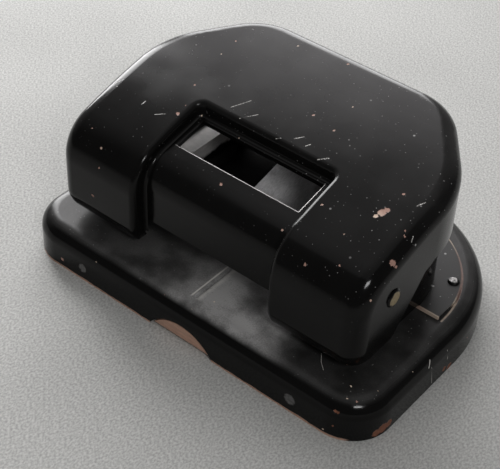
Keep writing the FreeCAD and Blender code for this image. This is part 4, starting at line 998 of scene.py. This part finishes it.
def build_world():
    """A pale room, brighter towards the window at the rear left."""
    world = bpy.data.worlds.new("Room")
    bpy.context.scene.world = world
    world.use_nodes = True
    nodes = Nodes(world.node_tree)
    world.node_tree.nodes.clear()
    heading = nodes.add("ShaderNodeTexCoord").outputs["Generated"]
    window = nodes.vectors("DOT_PRODUCT", heading, WINDOW_HEADING)
    shade = nodes.mix(nodes.between(window, *ROOM_RISE), ROOM_FAR, ROOM_NEAR)
    shade = nodes.mix(nodes.between(window, *GLOW_RISE), shade, WINDOW_GLOW)
    sky = nodes.add("ShaderNodeBackground")
    nodes.feed(sky.inputs["Color"], shade)
    nodes.feed(nodes.add("ShaderNodeOutputWorld").inputs["Surface"], sky.outputs[0])


class PUNCH_OT_stage(bpy.types.Operator):
    """Lay the table top and set the lights and the camera"""
    bl_idname = "punch.stage"
    bl_label = "Stage"

    def execute(self, context):
        stage = context.scene.punch_stage
        mesh = bmesh.new()
        bmesh.ops.create_grid(mesh, x_segments=1, y_segments=1, size=TABLE_REACH)
        data = bpy.data.meshes.new("table_top")
        mesh.to_mesh(data)
        mesh.free()
        data.materials.append(floor_material())
        table = bpy.data.objects.new("table_top", data)
        context.scene.collection.objects.link(table)
        for name, (power, *form) in LAMPS.items():
            area_light(name, getattr(stage, power), *form)
        build_world()
        lens = bpy.data.cameras.new("Main view")
        lens.lens = stage.lens
        lens.sensor_width = SENSOR
        camera = bpy.data.objects.new("Main view", lens)
        turn = Matrix(view_axes()).transposed().to_4x4()
        camera.matrix_world = Matrix.Translation(stage.place) @ turn
        context.scene.collection.objects.link(camera)
        context.scene.camera = camera
        context.scene.view_settings.view_transform = "Standard"
        return {"FINISHED"}


class PUNCH_PT_panel(bpy.types.Panel):
    """Lists the steps that dress the punch"""
    bl_idname = "PUNCH_PT_panel"
    bl_label = "Desk paper punch"
    bl_space_type = "VIEW_3D"
    bl_region_type = "UI"
    bl_category = "Punch"

    def draw(self, context):
        for step in STEPS:
            self.layout.operator(step.bl_idname)


STEPS = (PUNCH_OT_stage, PUNCH_OT_finishes, PUNCH_OT_hood, PUNCH_OT_base, PUNCH_OT_frame,
         PUNCH_OT_cover, PUNCH_OT_works, PUNCH_OT_springs)
SETTINGS = {"punch_lacquer": LacquerSettings, "punch_steel": SteelSettings,
            "punch_stage": StageSettings}
CLASSES = (*SETTINGS.values(), *STEPS, PUNCH_PT_panel)


def register():
    for entry in CLASSES:
        bpy.utils.register_class(entry)
    for name, group in SETTINGS.items():
        setattr(bpy.types.Scene, name, bpy.props.PointerProperty(type=group))


def unregister():
    for name in SETTINGS:
        delattr(bpy.types.Scene, name)
    for entry in reversed(CLASSES):
        bpy.utils.unregister_class(entry)


def main():
    register()
    bpy.ops.punch.stage()
    bpy.ops.punch.finishes()
    bpy.ops.punch.hood()
    bpy.ops.punch.base()
    bpy.ops.punch.frame()
    bpy.ops.punch.cover()
    bpy.ops.punch.works()
    bpy.ops.punch.springs()


if __name__ == "__main__":
    main()
